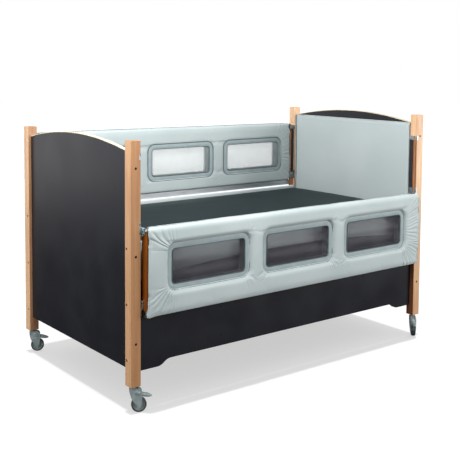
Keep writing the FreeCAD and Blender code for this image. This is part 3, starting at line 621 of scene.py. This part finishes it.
class SoftSizes(bpy.types.PropertyGroup):
    """How the soft goods are stuffed and sewn."""

    mattress_voxel: length("Mattress mesh", "Mesh size of the mattress", 0.018)
    pad_voxel: length("Pad mesh", "Mesh size of the liner pads", 0.009)
    cover_voxel: length("Cover mesh", "Mesh size of the rail covers", 0.009)
    swell: length("Swell", "How far a rail cover may swell", 0.0032)
    piping: length("Piping", "Radius of the piping cords", 0.0024)
    gather_depth: length("Gather depth", "Height of the gathers at the covers' corners", 0.0055)


class StageSizes(bpy.types.PropertyGroup):
    """Where the camera looks and how bright the room is."""

    heading: angle("Heading", "Camera's heading from +Y towards +X", 38.01)
    pitch: angle("Pitch", "How far the camera looks down", 4.43)
    roll: angle("Roll", "How far the camera leans", 0.44)
    lens: bpy.props.FloatProperty(name="Lens", description="Focal length in millimetres", default=67.51)
    fill: bpy.props.FloatProperty(name="Fill", description="Strength of light from all round", default=0.5)
    shadow: bpy.props.FloatProperty(
        name="Shadow", description="How bright the floor's shadow stays", default=0.555, min=0.0, max=1.0,
        subtype="FACTOR")


def soft():
    return bpy.context.scene.bed_soft


class BED_OT_frame(bpy.types.Operator):
    """Finishes the frame's own parts: posts, boards, platform, fasteners, rails' metal and castors"""

    bl_idname = "bed.frame"
    bl_label = "Finish the frame"

    def execute(self, context):
        for node, obj in NODES.items():
            obj.data.materials.clear()
            obj.data.materials.append(FINISHES[SLOT_OF[node]].material)
        return {"FINISHED"}


# The leaf of a brake pedal: half its width and height, how much longer it is than the CAD pedal's half,
# how far it is set back, how much of that downwards, and how it tips
LEAF_HALVES = (0.0135, 0.0105)
LEAF_SHARE = 0.54
LEAF_LONGER = 0.004
LEAF_BACK = 0.005
LEAF_DOWN = -0.2
LEAF_TIP = 0.2
# The moulded hood over a wheel: half its sizes, how far it stands over the wheel's top and behind its
# middle, how it tips, and how far it may reach past the fork and must stay under its top
HOOD_HALVES = (0.028, 0.0215, 0.0175)
HOOD_OVER = 0.031
HOOD_BEHIND = 0.008
HOOD_TIP = 0.5
HOOD_PAST = 0.006
HOOD_UNDER = 0.004


class BED_OT_castors(bpy.types.Operator):
    """Gives every castor its moulded hood and its broad leaf of a brake pedal"""

    bl_idname = "bed.castors"
    bl_label = "Finish the castors"

    def execute(self, context):
        for end, side in CORNERS:
            self.castor("%s_%s" % (end, side))
        return {"FINISHED"}

    def castor(self, corner):
        prefix = corner + "_castor_"
        fork_low, fork_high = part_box(prefix + "fork")
        low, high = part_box(prefix + "pedal")
        wheel_low, wheel_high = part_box(prefix + "wheel")
        wheel = (wheel_low + wheel_high) / 2
        out = (low + high) / 2 - wheel
        turn = math.atan2(out.y, out.x)
        reach = math.hypot(high.x - low.x, high.y - low.y) * LEAF_SHARE + LEAF_LONGER
        middle = (low + high) / 2 - Vector((math.cos(turn), math.sin(turn), LEAF_DOWN)) * LEAF_BACK
        leaf = self.blob(prefix + "pedal_leaf", middle, (reach, *LEAF_HALVES), turn, LEAF_TIP)
        dressed(leaf, "castor_plastic", corner + "_pedal", prefix + "pedal")
        top = Vector((wheel.x, wheel.y, wheel_high.z))
        middle = top - Vector((math.cos(turn), math.sin(turn), 0)) * HOOD_BEHIND + Vector((0, 0, HOOD_OVER))
        hood = self.blob(prefix + "hood", middle, HOOD_HALVES, turn, HOOD_TIP)
        past = Vector((HOOD_PAST, HOOD_PAST, 0))
        kept_in(hood, fork_low - past, fork_high + past - Vector((0, 0, HOOD_UNDER)))
        dressed(hood, "castor_plastic", corner + "_swivel")

    def blob(self, name, centre, radii, turn, tip):
        """A smooth moulded form, longest along its own X, tipped down and turned about Z."""
        alone()
        bpy.ops.mesh.primitive_uv_sphere_add(segments=32, ring_count=16, radius=1, location=(0, 0, 0))
        obj = sized(bpy.context.object, radii)
        obj.name = name
        obj.rotation_euler = (0, tip, turn)
        obj.location = centre
        bpy.ops.object.transform_apply(location=True, rotation=True, scale=False)
        return obj


class BED_OT_mattress(bpy.types.Operator):
    """Makes the mattress: a stuffed dark cover with slight creases"""

    bl_idname = "bed.mattress"
    bl_label = "Make the mattress"

    def execute(self, context):
        low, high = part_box("mattress")
        pad = slimmer(copy_of("mattress", "mattress_cover"), 0.004)
        pad = blown(pad, soft().mattress_voxel, 4.0, 0.012, slack=0.02)
        kept_in(pad, low, high + Vector((0, 0, 0.006)))
        applied(pad, "SUBSURF", levels=1, render_levels=1)
        dressed(pad, "mattress_fabric", "bed_frame", "mattress")
        return {"FINISHED"}


# How much wider the head pad is on the near side, how far in the end pads' seam runs, and its cord
LINER_WIDER = 0.011
SEAM_IN = 0.028
SEAM_RADIUS = 0.0013
# The backing of the side liners: how far it stands off, laps up behind them and hangs down, how far its
# hem goes in under the mattress, and how much shorter it is than the liner
BACKING_OFF = 0.0004
BACKING_LAP = 0.145
BACKING_DROP = 0.19
BACKING_TUCKED = 0.09
BACKING_SHORTER = 0.012


class BED_OT_liners(bpy.types.Operator):
    """Makes the four liner pads inside the panels and boards, with piping round the end pads"""

    bl_idname = "bed.liners"
    bl_label = "Make the liner pads"

    def execute(self, context):
        for name in (*ENDS, *SIDES):
            self.pad(name + "_liner_pad")
        for end in ENDS:
            self.piping(end, soft().piping, soft().piping * 1.6)
            self.piping(end, SEAM_RADIUS, SEAM_IN)
        for side in SIDES:
            self.backing(side)
        return {"FINISHED"}

    def pad(self, node):
        low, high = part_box(node)
        pad = slimmer(copy_of(node, node.replace("_pad", "")), 0.0015)
        pad = blown(pad, soft().pad_voxel, 3.0, 0.004, slack=0.01)
        kept_in(pad, low, high)
        if node == "head_liner_pad":
            for vertex in pad.data.vertices:
                vertex.co.y -= LINER_WIDER * eased(-vertex.co.y, 0.3, -low.y)
        applied(pad, "SUBSURF", levels=1, render_levels=1)
        dressed(pad, "liner_fabric", "bed_frame", node)

    def backing(self, side):
        """A side liner's backing: a sheet down behind the board's top, and a hem in under the mattress."""
        low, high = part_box(side + "_liner_pad")
        out = SIDES[side]
        outer = high.y if out > 0 else low.y
        length_x = high.x - low.x - BACKING_SHORTER
        middle_z = low.z + BACKING_LAP - BACKING_DROP / 2
        hanging = self.strip((0, outer + out * BACKING_OFF, middle_z), (length_x, 0.0004, BACKING_DROP))
        middle_y = outer - out * BACKING_TUCKED / 2
        tucked = self.strip((0, middle_y, low.z - 0.00015), (length_x, BACKING_TUCKED, 0.0002))
        dressed(joined(side + "_liner_backing", [hanging, tucked]), "liner_fabric", "bed_frame")

    def strip(self, place, size):
        alone()
        bpy.ops.mesh.primitive_cube_add(size=1, location=place)
        return sized(bpy.context.object, size)

    def piping(self, end, radius, inset):
        """A cord round an end pad's inner face: the edge's piping, or the seam inside it."""
        low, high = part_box(end + "_liner_pad")
        wider = LINER_WIDER if end == "head" else 0.0
        inner = (low.x if ENDS[end] > 0 else high.x) + ENDS[end] * radius * 0.6
        wide, tall = high.y - low.y + wider - 2 * inset, high.z - low.z - 2 * inset
        loop = slot_outline(-wider / 2, (low.z + high.z) / 2, wide, tall, 0.008)
        cord = tube(end + "_liner_piping", [(inner, across, up) for across, up in loop], radius)
        dressed(cord, "liner_fabric", "bed_frame")


# Rail covers and their windows

# The windows: their spacing, their bindings' width and depth, their corners and how far they lie in
WINDOW_PITCH = 0.602
BINDING_WIDE = 0.030
BINDING_DEEP = 0.0035
WINDOW_ROUND = 0.020
SUNK = {"outer": 0.019, "inner": 0.004}
# How the soft covers differ from their solids, as seen in the photograph
WINDOW_SHIFT = {"near": -0.002, "far": 0.028}
WINDOW_RISE = {"near": 0.005, "far": 0.0}
CREST_RISE = {"near": 0.002, "far": 0.019}
INNER_SWELL = {"near": 0.0, "far": 0.011}
SKIRT_DROP = 0.009
END_WRAP = {
    ("near", "head"): 0.029,
    ("near", "foot"): 0.010,
    ("far", "head"): 0.021,
    ("far", "foot"): 0.0,
}
CORNER_DROP = 0.008
# From how far round a binding the fabric is drawn in, and how deep below the crest it is still the face
PUFF = 0.028
FACE_DEEP = 0.012
# The cord down a cover's ends: its radius, its points and the band in which its corner is looked for
EDGE_RADIUS = 0.0022
EDGE_STEPS = 30
EDGE_BAND = 0.04
# The dark cords along the bindings' edges, part piping and part painted shadow line where the padding meets
# the binding: their radius and how far they stand proud
CORD_RADIUS = 0.0018
CORD_PROUD = 0.0011


class Rail:
    """Where one rail's cover, faces and windows lie, read from the frame."""

    def __init__(self, side):
        self.side = side
        self.prefix = side + "_rail_"
        self.low, self.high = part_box(self.prefix + "cover")
        ring_low, ring_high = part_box(self.prefix + "window_bindings")
        self.outward = SIDES[side]
        self.middle_z = (ring_low.z + ring_high.z) / 2
        self.ring_tall = ring_high.z - ring_low.z
        self.crest = {"outer": self.low.y if side == "near" else self.high.y,
                      "inner": self.high.y if side == "near" else self.low.y}
        self.facing = {"outer": self.outward, "inner": -self.outward}
        self.pitch = WINDOW_PITCH
        self.ring_wide = ring_high.x - ring_low.x - 2 * self.pitch
        self.shift = 0.0

    def settle(self):
        """Moves the windows to where they lie once the cover has settled."""
        self.shift = WINDOW_SHIFT[self.side]
        self.middle_z += WINDOW_RISE[self.side]

    def window_centres(self):
        return [self.pitch * i + self.shift for i in (-1, 0, 1)]

    def ring_front(self, face):
        """Where the front of a face's bindings lies."""
        return self.crest[face] - self.facing[face] * SUNK[face]

    def outwards(self, y):
        """0 on the inner face, 1 on the outer."""
        return (y - self.crest["inner"]) / (self.crest["outer"] - self.crest["inner"])

    def settled(self, point):
        """Where a point of the sewn cover lies: windows drawn along, crest and skirt out, inside full."""
        x, y, z = point
        edge = self.pitch + self.ring_wide / 2
        half = self.ring_tall / 2
        drawn = x + WINDOW_SHIFT[self.side] * (1 - eased(abs(x), edge + 0.005, self.high.x - 0.015))
        lifted = 1 - eased(abs(z - self.middle_z), half + 0.005, half + 0.045)
        foot_share = (self.high.x - x) / (self.high.x - self.low.x)
        crest = eased(z, self.middle_z + half + 0.01, self.high.z - 0.01)
        rise = CREST_RISE[self.side] * (0.45 + 0.55 * foot_share) * crest
        outside = self.outwards(y)
        drop = SKIRT_DROP * (1 - eased(z, self.low.z, self.low.z + 0.06)) * eased(outside, 0.45, 0.7)
        inside = 1 - eased(outside, 0.05, 0.6)
        shown = inside if self.side == "far" else eased(outside, 0.45, 0.62)
        for end, sign in ENDS.items():
            wrapped = eased(x * sign, self.high.x - 0.05, self.high.x - 0.002)
            drawn += sign * END_WRAP[self.side, end] * wrapped * shown
        loose = shown * (1 - eased(x, self.low.x, self.low.x + 0.06))
        loose *= 1 - eased(z, self.low.z, self.low.z + 0.05)
        drop += CORNER_DROP * loose
        drawn -= CORNER_DROP * loose
        raised = z + rise - drop + WINDOW_RISE[self.side] * lifted
        return Vector((drawn, y - self.outward * INNER_SWELL[self.side] * inside, raised))

    def face_at(self, y):
        """The face that a point on the cover belongs to."""
        return "outer" if abs(y - self.crest["outer"]) < abs(y - self.crest["inner"]) else "inner"


def ring_distance(x, z, rail):
    """How far a point lies outside the nearest binding's outer edge; less than 0 inside it."""
    centre = min(rail.window_centres(), key=lambda c: abs(x - c))
    radius = WINDOW_ROUND + BINDING_WIDE
    dx = abs(x - centre) - rail.ring_wide / 2 + radius
    dz = abs(z - rail.middle_z) - rail.ring_tall / 2 + radius
    outside = math.hypot(max(dx, 0), max(dz, 0))
    return outside + min(max(dx, dz), 0) - radius


class Fan:
    """A fan of gathers: folds that run out from a centre between two angles."""

    def __init__(self, x, z, first, last, count, start, end, height, seed):
        self.x, self.z = x, z
        self.first, self.last = math.radians(first), math.radians(last)
        self.count, self.start, self.end = count, start, end
        self.height, self.seed = height, seed

    def reach(self, x, z):
        """How strongly the fan's folds show at a point, from 0 to 1."""
        radius = math.hypot(x - self.x, z - self.z)
        angle = math.atan2(z - self.z, x - self.x)
        middle, half = (self.first + self.last) / 2, (self.last - self.first) / 2
        off = abs((angle - middle + math.pi) % (2 * math.pi) - math.pi) / half
        begun = eased(radius, self.start * 0.8, self.start * 1.25)
        return begun * (1 - eased(radius, self.end * 0.85, self.end)) * (1 - eased(off, 0.75, 1.1))

    def lift(self, x, z):
        """How high the folds stand at a point."""
        shown = self.reach(x, z)
        if shown <= 0:
            return 0.0
        angle = math.atan2(z - self.z, x - self.x)
        radius = math.hypot(x - self.x, z - self.z)
        turn = (angle - self.first + math.pi) % (2 * math.pi) - math.pi
        wobble = noise.noise(Vector((turn * 3.1, radius * 9, self.seed))) * 0.9
        phase = turn / (self.last - self.first) * self.count + wobble
        ridge = abs(math.sin(math.pi * phase)) ** 0.6 * 1.5 - 1
        strength = 0.55 + 0.6 * noise.noise(Vector((math.floor(phase + 0.5) * 1.7, 0, self.seed + 5)))
        return self.height * shown * ridge * strength


def fans_of(rail):
    """The gathers that the photograph shows on a rail's cover, and their like on its other faces."""
    inner = 0.045
    half = rail.ring_wide / 2 - inner
    end = rail.pitch + half
    up = rail.middle_z + rail.ring_tall / 2 - inner
    down = rail.middle_z - rail.ring_tall / 2 + inner
    high = soft().gather_depth
    return [
        Fan(-end, up, 92, 172, 6, 0.055, 0.19, high, 1.0),
        Fan(-end, down, 190, 268, 7, 0.055, 0.19, high, 2.0),
        Fan(end, up, 6, 84, 9, 0.06, 0.19, high * 0.8, 3.0),
        Fan(end, down, -82, 2, 10, 0.06, 0.19, high * 0.9, 4.0),
        Fan(end + inner - 0.12, rail.middle_z, -24, 24, 7, 0.13, 0.255, high * 0.8, 5.0),
        Fan(rail.pitch - half, down, 205, 262, 4, 0.055, 0.11, high * 0.5, 6.0),
        Fan(half, down, 275, 330, 4, 0.055, 0.11, high * 0.5, 7.0),
        Fan(-half, down, 205, 262, 4, 0.055, 0.11, high * 0.5, 8.0),
        Fan(-rail.pitch + half, down, 275, 330, 4, 0.055, 0.11, high * 0.45, 9.0),
        Fan(-rail.pitch + half, up, 30, 85, 3, 0.055, 0.10, high * 0.4, 10.0),
        Fan(half, up, 30, 85, 3, 0.055, 0.10, high * 0.4, 11.0),
    ]


class BED_OT_covers(bpy.types.Operator):
    """Makes the padded covers of both rails: swollen round the windows and gathered at their corners"""

    bl_idname = "bed.covers"
    bl_label = "Make the rail covers"

    def execute(self, context):
        for side in SIDES:
            self.cover(Rail(side))
        return {"FINISHED"}

    def cover(self, rail):
        node = rail.prefix + "cover"
        pad = slimmer(copy_of(node, rail.side + "_rail_padded_cover"), 0.002)
        margin = BINDING_WIDE * 0.2
        pad = blown(pad, soft().cover_voxel, 2.5, soft().swell, slack=0.008,
                    held=lambda place: ring_distance(place.x, place.z, rail) < -margin)
        self.seat_windows(pad, rail)
        self.hold_inner(pad, rail)
        for vertex in pad.data.vertices:
            vertex.co = rail.settled(vertex.co)
        rail.settle()
        applied(pad, "SUBSURF", levels=1, render_levels=1)
        self.gather(pad, rail)
        dressed(pad, "cover_fabric", rail.side + "_rail", node)
        pressed(pad, rail)
        self.edge_piping(pad, rail)

    def edge_piping(self, pad, rail):
        """A fine cord down both ends of the cover's outer face."""
        base = rail.low.z - SKIRT_DROP / 2
        step = (rail.high.z - rail.low.z) / EDGE_STEPS
        cords = []
        for end in ENDS.values():
            corners = {}
            for vertex in pad.data.vertices:
                x, y, z = vertex.co
                level = round((z - base) / step)
                if 0 <= level <= EDGE_STEPS and abs(x - end * rail.high.x) < EDGE_BAND:
                    spot = (x * end + y * rail.outward, x, y)
                    corners[level] = max(corners.get(level, spot), spot)
            places = [Vector((*corners[level][1:], base + step * level)) for level in sorted(corners)]
            longer = [places[0], *places, places[-1]]
            smooth = [(a + b + c) / 3 for a, b, c in zip(longer, longer[1:], longer[2:])]
            cords.append(tube("edge", smooth, EDGE_RADIUS, closed=False))
        piping = joined(rail.prefix + "edge_piping", cords)
        dressed(piping, "cover_fabric", rail.side + "_rail")
        pressed(piping, rail)

    def seat_windows(self, pad, rail):
        """Draws the fabric in to the bindings, so that they lie in its surface."""
        for vertex in pad.data.vertices:
            face = rail.face_at(vertex.co.y)
            out = rail.facing[face]
            depth = (rail.crest[face] - vertex.co.y) * out
            away = ring_distance(vertex.co.x, vertex.co.z, rail)
            if depth > SUNK[face] + FACE_DEEP or away > PUFF:
                continue
            if away < 0:
                wanted = SUNK[face] + BINDING_DEEP * (0.45 if away > -BINDING_WIDE * 0.25 else 1.25)
            else:
                wanted = SUNK[face] * (1 - math.sqrt(1 - (1 - away / PUFF) ** 2))
            vertex.co.y = rail.crest[face] - out * max(depth, wanted)

    def gather(self, pad, rail):
        """Cuts the mesh finer under the fans and raises their folds."""
        fans = fans_of(rail)
        editing(pad)
        bpy.ops.mesh.select_all(action="DESELECT")
        edited()
        for face in pad.data.polygons:
            near = any(fan.reach(face.center.x, face.center.z) > 0.02 for fan in fans)
            face.select = near and abs(face.normal.y) > 0.4
        bpy.ops.object.mode_set(mode="EDIT")
        bpy.ops.mesh.subdivide(number_cuts=1, smoothness=0.6)
        edited()
        normals = [vertex.normal.copy() for vertex in pad.data.vertices]
        for vertex, normal in zip(pad.data.vertices, normals):
            x, z = vertex.co.x, vertex.co.z
            away = eased(ring_distance(x, z, rail), 0.0005, 0.012)
            lift = sum(fan.lift(x, z) for fan in fans) * away * eased(abs(normal.y), 0.1, 0.6)
            wave = noise.noise(Vector((x * 7, z * 9, rail.outward * 3 + normal.y))) * 0.0012 * away
            vertex.co += normal * (lift + wave)

    def hold_inner(self, pad, rail):
        """Keeps the cover clear of the side board behind it."""
        limit = rail.crest["inner"]
        for vertex in pad.data.vertices:
            if (vertex.co.y - limit) * rail.facing["inner"] > 0:
                vertex.co.y = limit


def pressed(obj, rail):
    """Gives a piece of the far rail a mesh of its own; the share of its thickness that it works out is not
    used.
    """
    if rail.side == "far":
        thick = abs(rail.crest["outer"] - rail.crest["inner"])
        thick / (thick + INNER_SWELL["far"])
        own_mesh(obj)


class BED_OT_windows(bpy.types.Operator):
    """Makes the windows of both rails: clear sheets, bindings, their dark cords, part piping and part
    painted shadow line, and the lining between, whose dark colour is painted shade
    """

    bl_idname = "bed.windows"
    bl_label = "Make the window bindings"

    # Width and rise of each strip of a binding, from its outer edge inwards, in millimetres
    PROFILE = [
        (0.5, 1.6), (0.9, 0.9), (0.9, 0.0), (0.8, -0.9), (0.5, -0.2), (1.2, 0.7), (7.5, 0.7), (7.5, 0.0),
        (5.3, -0.5), (1.0, -0.8), (0.5, -0.1), (0.8, 0.8), (1.1, 0.3), (1.0, -0.6), (0.5, -1.9),
    ]

    def execute(self, context):
        for side in SIDES:
            rail = Rail(side)
            rail.settle()
            spots = [(face, x) for face in SUNK for x in rail.window_centres()]
            band = joined(rail.prefix + "bindings", [self.ring(rail, *spot) for spot in spots])
            dressed(band, "binding_fabric", side + "_rail", rail.prefix + "window_bindings")
            # Dark cords along both edges of each binding: piping, and a painted shadow line where the
            # padding meets it
            grown = (-0.001, BINDING_WIDE + 0.0005)
            cords = [self.cord(rail, *spot, grow) for spot in spots for grow in grown]
            piping = joined(rail.prefix + "window_piping_and_shadow_line", cords)
            dressed(piping, "binding_fabric", side + "_rail", finish="piping_and_shadow_line")
            # The lining's dark colour is painted shade inside each window's recess
            sleeves = [self.lining(rail, x) for x in rail.window_centres()]
            sleeves = joined(rail.prefix + "window_linings", sleeves)
            dressed(sleeves, "binding_fabric", side + "_rail", finish="shaded_window_lining")
            panes = self.panes(rail)
            for piece in (band, piping, sleeves, panes):
                if side == "far":
                    for vertex in piece.data.vertices:
                        share = 1 - eased(rail.outwards(vertex.co.y), 0.05, 0.6)
                        vertex.co.y -= rail.outward * INNER_SWELL[side] * share
                pressed(piece, rail)
        return {"FINISHED"}

    def panes(self, rail):
        """The clear sheets, moved with their windows."""
        node = rail.prefix + "window_panes"
        sheets = copy_of(node, rail.prefix + "clear_panes")
        for vertex in sheets.data.vertices:
            vertex.co.x += rail.shift
            vertex.co.z += WINDOW_RISE[rail.side]
        dressed(sheets, "clear_sheet", rail.side + "_rail", node)
        return sheets

    def cord(self, rail, face, x, grow):
        """A dark cord along one edge of a binding: part piping and part painted shadow line where the
        padding meets the binding.
        """
        y = rail.ring_front(face) + rail.facing[face] * CORD_PROUD
        wide = rail.ring_wide - 2 * BINDING_WIDE + 2 * grow
        high = rail.ring_tall - 2 * BINDING_WIDE + 2 * grow
        loop = slot_outline(x, rail.middle_z, wide, high, WINDOW_ROUND + grow)
        return tube("cord", [(across, y, up) for across, up in loop], CORD_RADIUS)

    def plate(self, rail, x, y, facing, inset, segments):
        """An upright plate with round corners, inset from a binding's outer edge and left in edit mode."""
        alone()
        bpy.ops.mesh.primitive_plane_add(
            size=1, location=(x, y, rail.middle_z), rotation=(facing * math.pi / 2, 0, 0))
        sheet = sized(bpy.context.object, (rail.ring_wide - 2 * inset, rail.ring_tall - 2 * inset, 1))
        editing(sheet)
        radius = WINDOW_ROUND + BINDING_WIDE - inset
        bpy.ops.mesh.bevel(offset=radius, offset_type="OFFSET", segments=segments, affect="VERTICES")
        bpy.ops.mesh.select_all(action="SELECT")
        return sheet

    def lining(self, rail, x):
        """The fabric that lines the way through the padding between a window's two sheets, dark as painted
        shade in the recess.
        """
        ends = [rail.ring_front(face) - rail.facing[face] * (BINDING_DEEP + 0.0012) for face in SUNK]
        sleeve = self.plate(rail, x, ends[0], 1, BINDING_WIDE, 8)
        bpy.ops.mesh.delete(type="ONLY_FACE")
        bpy.ops.mesh.select_all(action="SELECT")
        bpy.ops.mesh.extrude_edges_move(TRANSFORM_OT_translate={"value": (0, ends[1] - ends[0], 0)})
        bpy.ops.mesh.select_all(action="SELECT")
        bpy.ops.mesh.normals_make_consistent(inside=True)
        edited()
        return applied(sleeve, "SOLIDIFY", thickness=0.001, offset=-1.0)

    def ring(self, rail, face, x):
        """One binding: a plate inset strip by strip along its profile, its middle cut out."""
        out = rail.facing[face]
        y = rail.ring_front(face) - out * (BINDING_DEEP + 0.0006)
        ring = self.plate(rail, x, y, -out, 0, 10)
        for wide, rise in self.PROFILE:
            bpy.ops.mesh.inset(thickness=wide / 1000, depth=rise / 1000, use_even_offset=True)
        bpy.ops.mesh.delete(type="FACE")
        edited()
        return applied(ring, "SOLIDIFY", thickness=0.0012, offset=-1.0)


# Stage

# Where the camera stands and how its picture is shifted
CAMERA_PLACE = (-3.151, -4.056, 1.677)
CAMERA_SHIFT = (-0.0066, -0.2119)
# The floor: the share of its own glow that the camera sees, and how pale it is for other light and mirrored
FLOOR_GLOW = 0.4
FLOOR_BOUNCE = 0.35
FLOOR_MIRRORED = 0.06
# How bright the room looks in a mirror
MIRRORED_ROOM = 0.22
# Distant lamps: power, spread in degrees and where they stand. The first draws the floor's shadow
SHADOW_LAMP = "overhead"
SUNS = [
    (SHADOW_LAMP, 1.8, 1.6, (0, 0, 4)),
    ("front", 1.12, 24, (2.2, -4, 1.6)),
]
# Soft boxes: width, height, power, where they hang and what they face
SOFT_BOXES = [
    ("key", 3.0, 2.4, 165, (-5.0, -0.4, 2.2), (-0.3, 0, 0.8)),
    ("front", 2.0, 1.4, 58, (2.7, -3.2, 1.2), (0.7, 0, 0.6)),
    ("inside", 1.6, 1.0, 48, (-1.1, -0.9, 2.3), (0.8, 0.5, 1.0)),
    ("behind", 2.6, 2.0, 22, (-3.2, 4.6, 1.2), (-1.03, 0.3, 1.0)),
]


class BED_OT_stage(bpy.types.Operator):
    """Lays the floor, hangs the lamps and stands the camera where the photograph was taken"""

    bl_idname = "bed.stage"
    bl_label = "Set the stage"

    def execute(self, context):
        self.floor()
        self.world()
        self.lamps()
        self.camera()
        context.scene.view_settings.view_transform = "Standard"
        return {"FINISHED"}

    def floor(self):
        """A pale floor that partly glows for the camera, so that its shadow stays flat."""
        alone()
        bpy.ops.mesh.primitive_plane_add(size=60, location=(0, 0, 0))
        floor = bpy.context.object
        floor.name = "floor"
        finish = Finish("pale_floor", Roughness=0.9, Specular_IOR_Level=0.0)
        pale = finish.noise(0.6, 1.0).between(grey(0.86), grey(0.9))
        thrown = finish.ray("Is Glossy Ray").between(grey(FLOOR_BOUNCE), grey(FLOOR_MIRRORED))
        seen = finish.seen_directly()
        finish.set(Base_Color=seen.between(thrown, pale))
        strength = bpy.context.scene.bed_stage.shadow / FLOOR_GLOW
        glow = finish.add("ShaderNodeEmission", {"Color": grey(1.0), "Strength": strength})
        lit = Wire(finish, finish.shader.outputs["BSDF"])
        mixed = finish.add("ShaderNodeMixShader", {"Fac": seen * FLOOR_GLOW, 1: lit, 2: glow})
        finish.feed(finish.tree.nodes["Material Output"].inputs["Surface"], mixed)
        floor.data.materials.append(finish.material)

    def world(self):
        """An even white room that looks darker in a mirror than it shines."""
        world = bpy.data.worlds.new("studio")
        bpy.context.scene.world = world
        world.use_nodes = True
        nodes = Nodes(world.node_tree)
        back = nodes.tree.nodes["Background"]
        fill = nodes.ray("Is Glossy Ray").spread(bpy.context.scene.bed_stage.fill, MIRRORED_ROOM)
        nodes.feed(back.inputs["Strength"], nodes.seen_directly().spread(fill, 1.0))
        nodes.feed(back.inputs["Color"], grey(1.0))

    def lamps(self):
        """Hangs the distant lamps, then the soft boxes."""
        for name, power, spread, place in SUNS:
            sun = bpy.data.lights.new(name, "SUN")
            sun.energy = power
            sun.angle = math.radians(spread)
            self.hang(sun, place, (0, 0, 0))
        for name, wide, high, power, place, target in SOFT_BOXES:
            box = bpy.data.lights.new(name, "AREA")
            box.shape = "RECTANGLE"
            box.size = wide
            box.size_y = high
            box.energy = power
            self.hang(box, place, target)

    def spare_floor(self, lamp):
        """Keeps a lamp's light off the floor, where only the shadow's lamp and the room shine."""
        unlit = bpy.data.collections.get("unlit")
        if unlit is None:
            unlit = bpy.data.collections.new("unlit")
            unlit.objects.link(bpy.data.objects["floor"])
            unlit.collection_objects[0].light_linking.link_state = "EXCLUDE"
        lamp.light_linking.receiver_collection = unlit

    def hang(self, light, place, target):
        lamp = linked(light.name, light)
        lamp.location = place
        lamp.rotation_euler = (Vector(target) - Vector(place)).to_track_quat("-Z", "Y").to_euler()
        if light.name != SHADOW_LAMP:
            self.spare_floor(lamp)

    def camera(self):
        stage = bpy.context.scene.bed_stage
        data = bpy.data.cameras.new("camera")
        data.lens = stage.lens
        data.sensor_width = 36.0
        data.shift_x, data.shift_y = CAMERA_SHIFT
        data.clip_end = 200.0
        camera = linked("camera", data)
        bpy.context.scene.camera = camera
        turn = Matrix.Rotation(-stage.heading, 4, "Z") @ Matrix.Rotation(math.pi / 2 - stage.pitch, 4, "X")
        turn = turn @ Matrix.Rotation(stage.roll, 4, "Z")
        camera.matrix_world = Matrix.Translation(CAMERA_PLACE) @ turn


class BED_PT_sidebar(bpy.types.Panel):
    """Lists the steps that dress the bed"""

    bl_idname = "BED_PT_sidebar"
    bl_label = "Safety Bed"
    bl_space_type = "VIEW_3D"
    bl_region_type = "UI"
    bl_category = "Safety Bed"

    def draw(self, context):
        for sizes in (context.scene.bed_soft, context.scene.bed_stage):
            for name in type(sizes).__annotations__:
                self.layout.prop(sizes, name)
        for operator in STEPS:
            self.layout.operator(operator.bl_idname)


STEPS = [
    BED_OT_stage,
    BED_OT_frame,
    BED_OT_castors,
    BED_OT_mattress,
    BED_OT_liners,
    BED_OT_covers,
    BED_OT_windows,
]
CLASSES = [SoftSizes, StageSizes, *STEPS, BED_PT_sidebar]
FINISHES = {}


def register():
    for kind in CLASSES:
        bpy.utils.register_class(kind)
    bpy.types.Scene.bed_soft = bpy.props.PointerProperty(type=SoftSizes)
    bpy.types.Scene.bed_stage = bpy.props.PointerProperty(type=StageSizes)


def unregister():
    del bpy.types.Scene.bed_stage
    del bpy.types.Scene.bed_soft
    for kind in reversed(CLASSES):
        bpy.utils.unregister_class(kind)


def main():
    register()
    FINISHES.update(all_finishes())
    bpy.ops.bed.stage()
    bpy.ops.bed.frame()
    bpy.ops.bed.castors()
    bpy.ops.bed.mattress()
    bpy.ops.bed.liners()
    bpy.ops.bed.covers()
    bpy.ops.bed.windows()


if __name__ == "__main__":
    main()
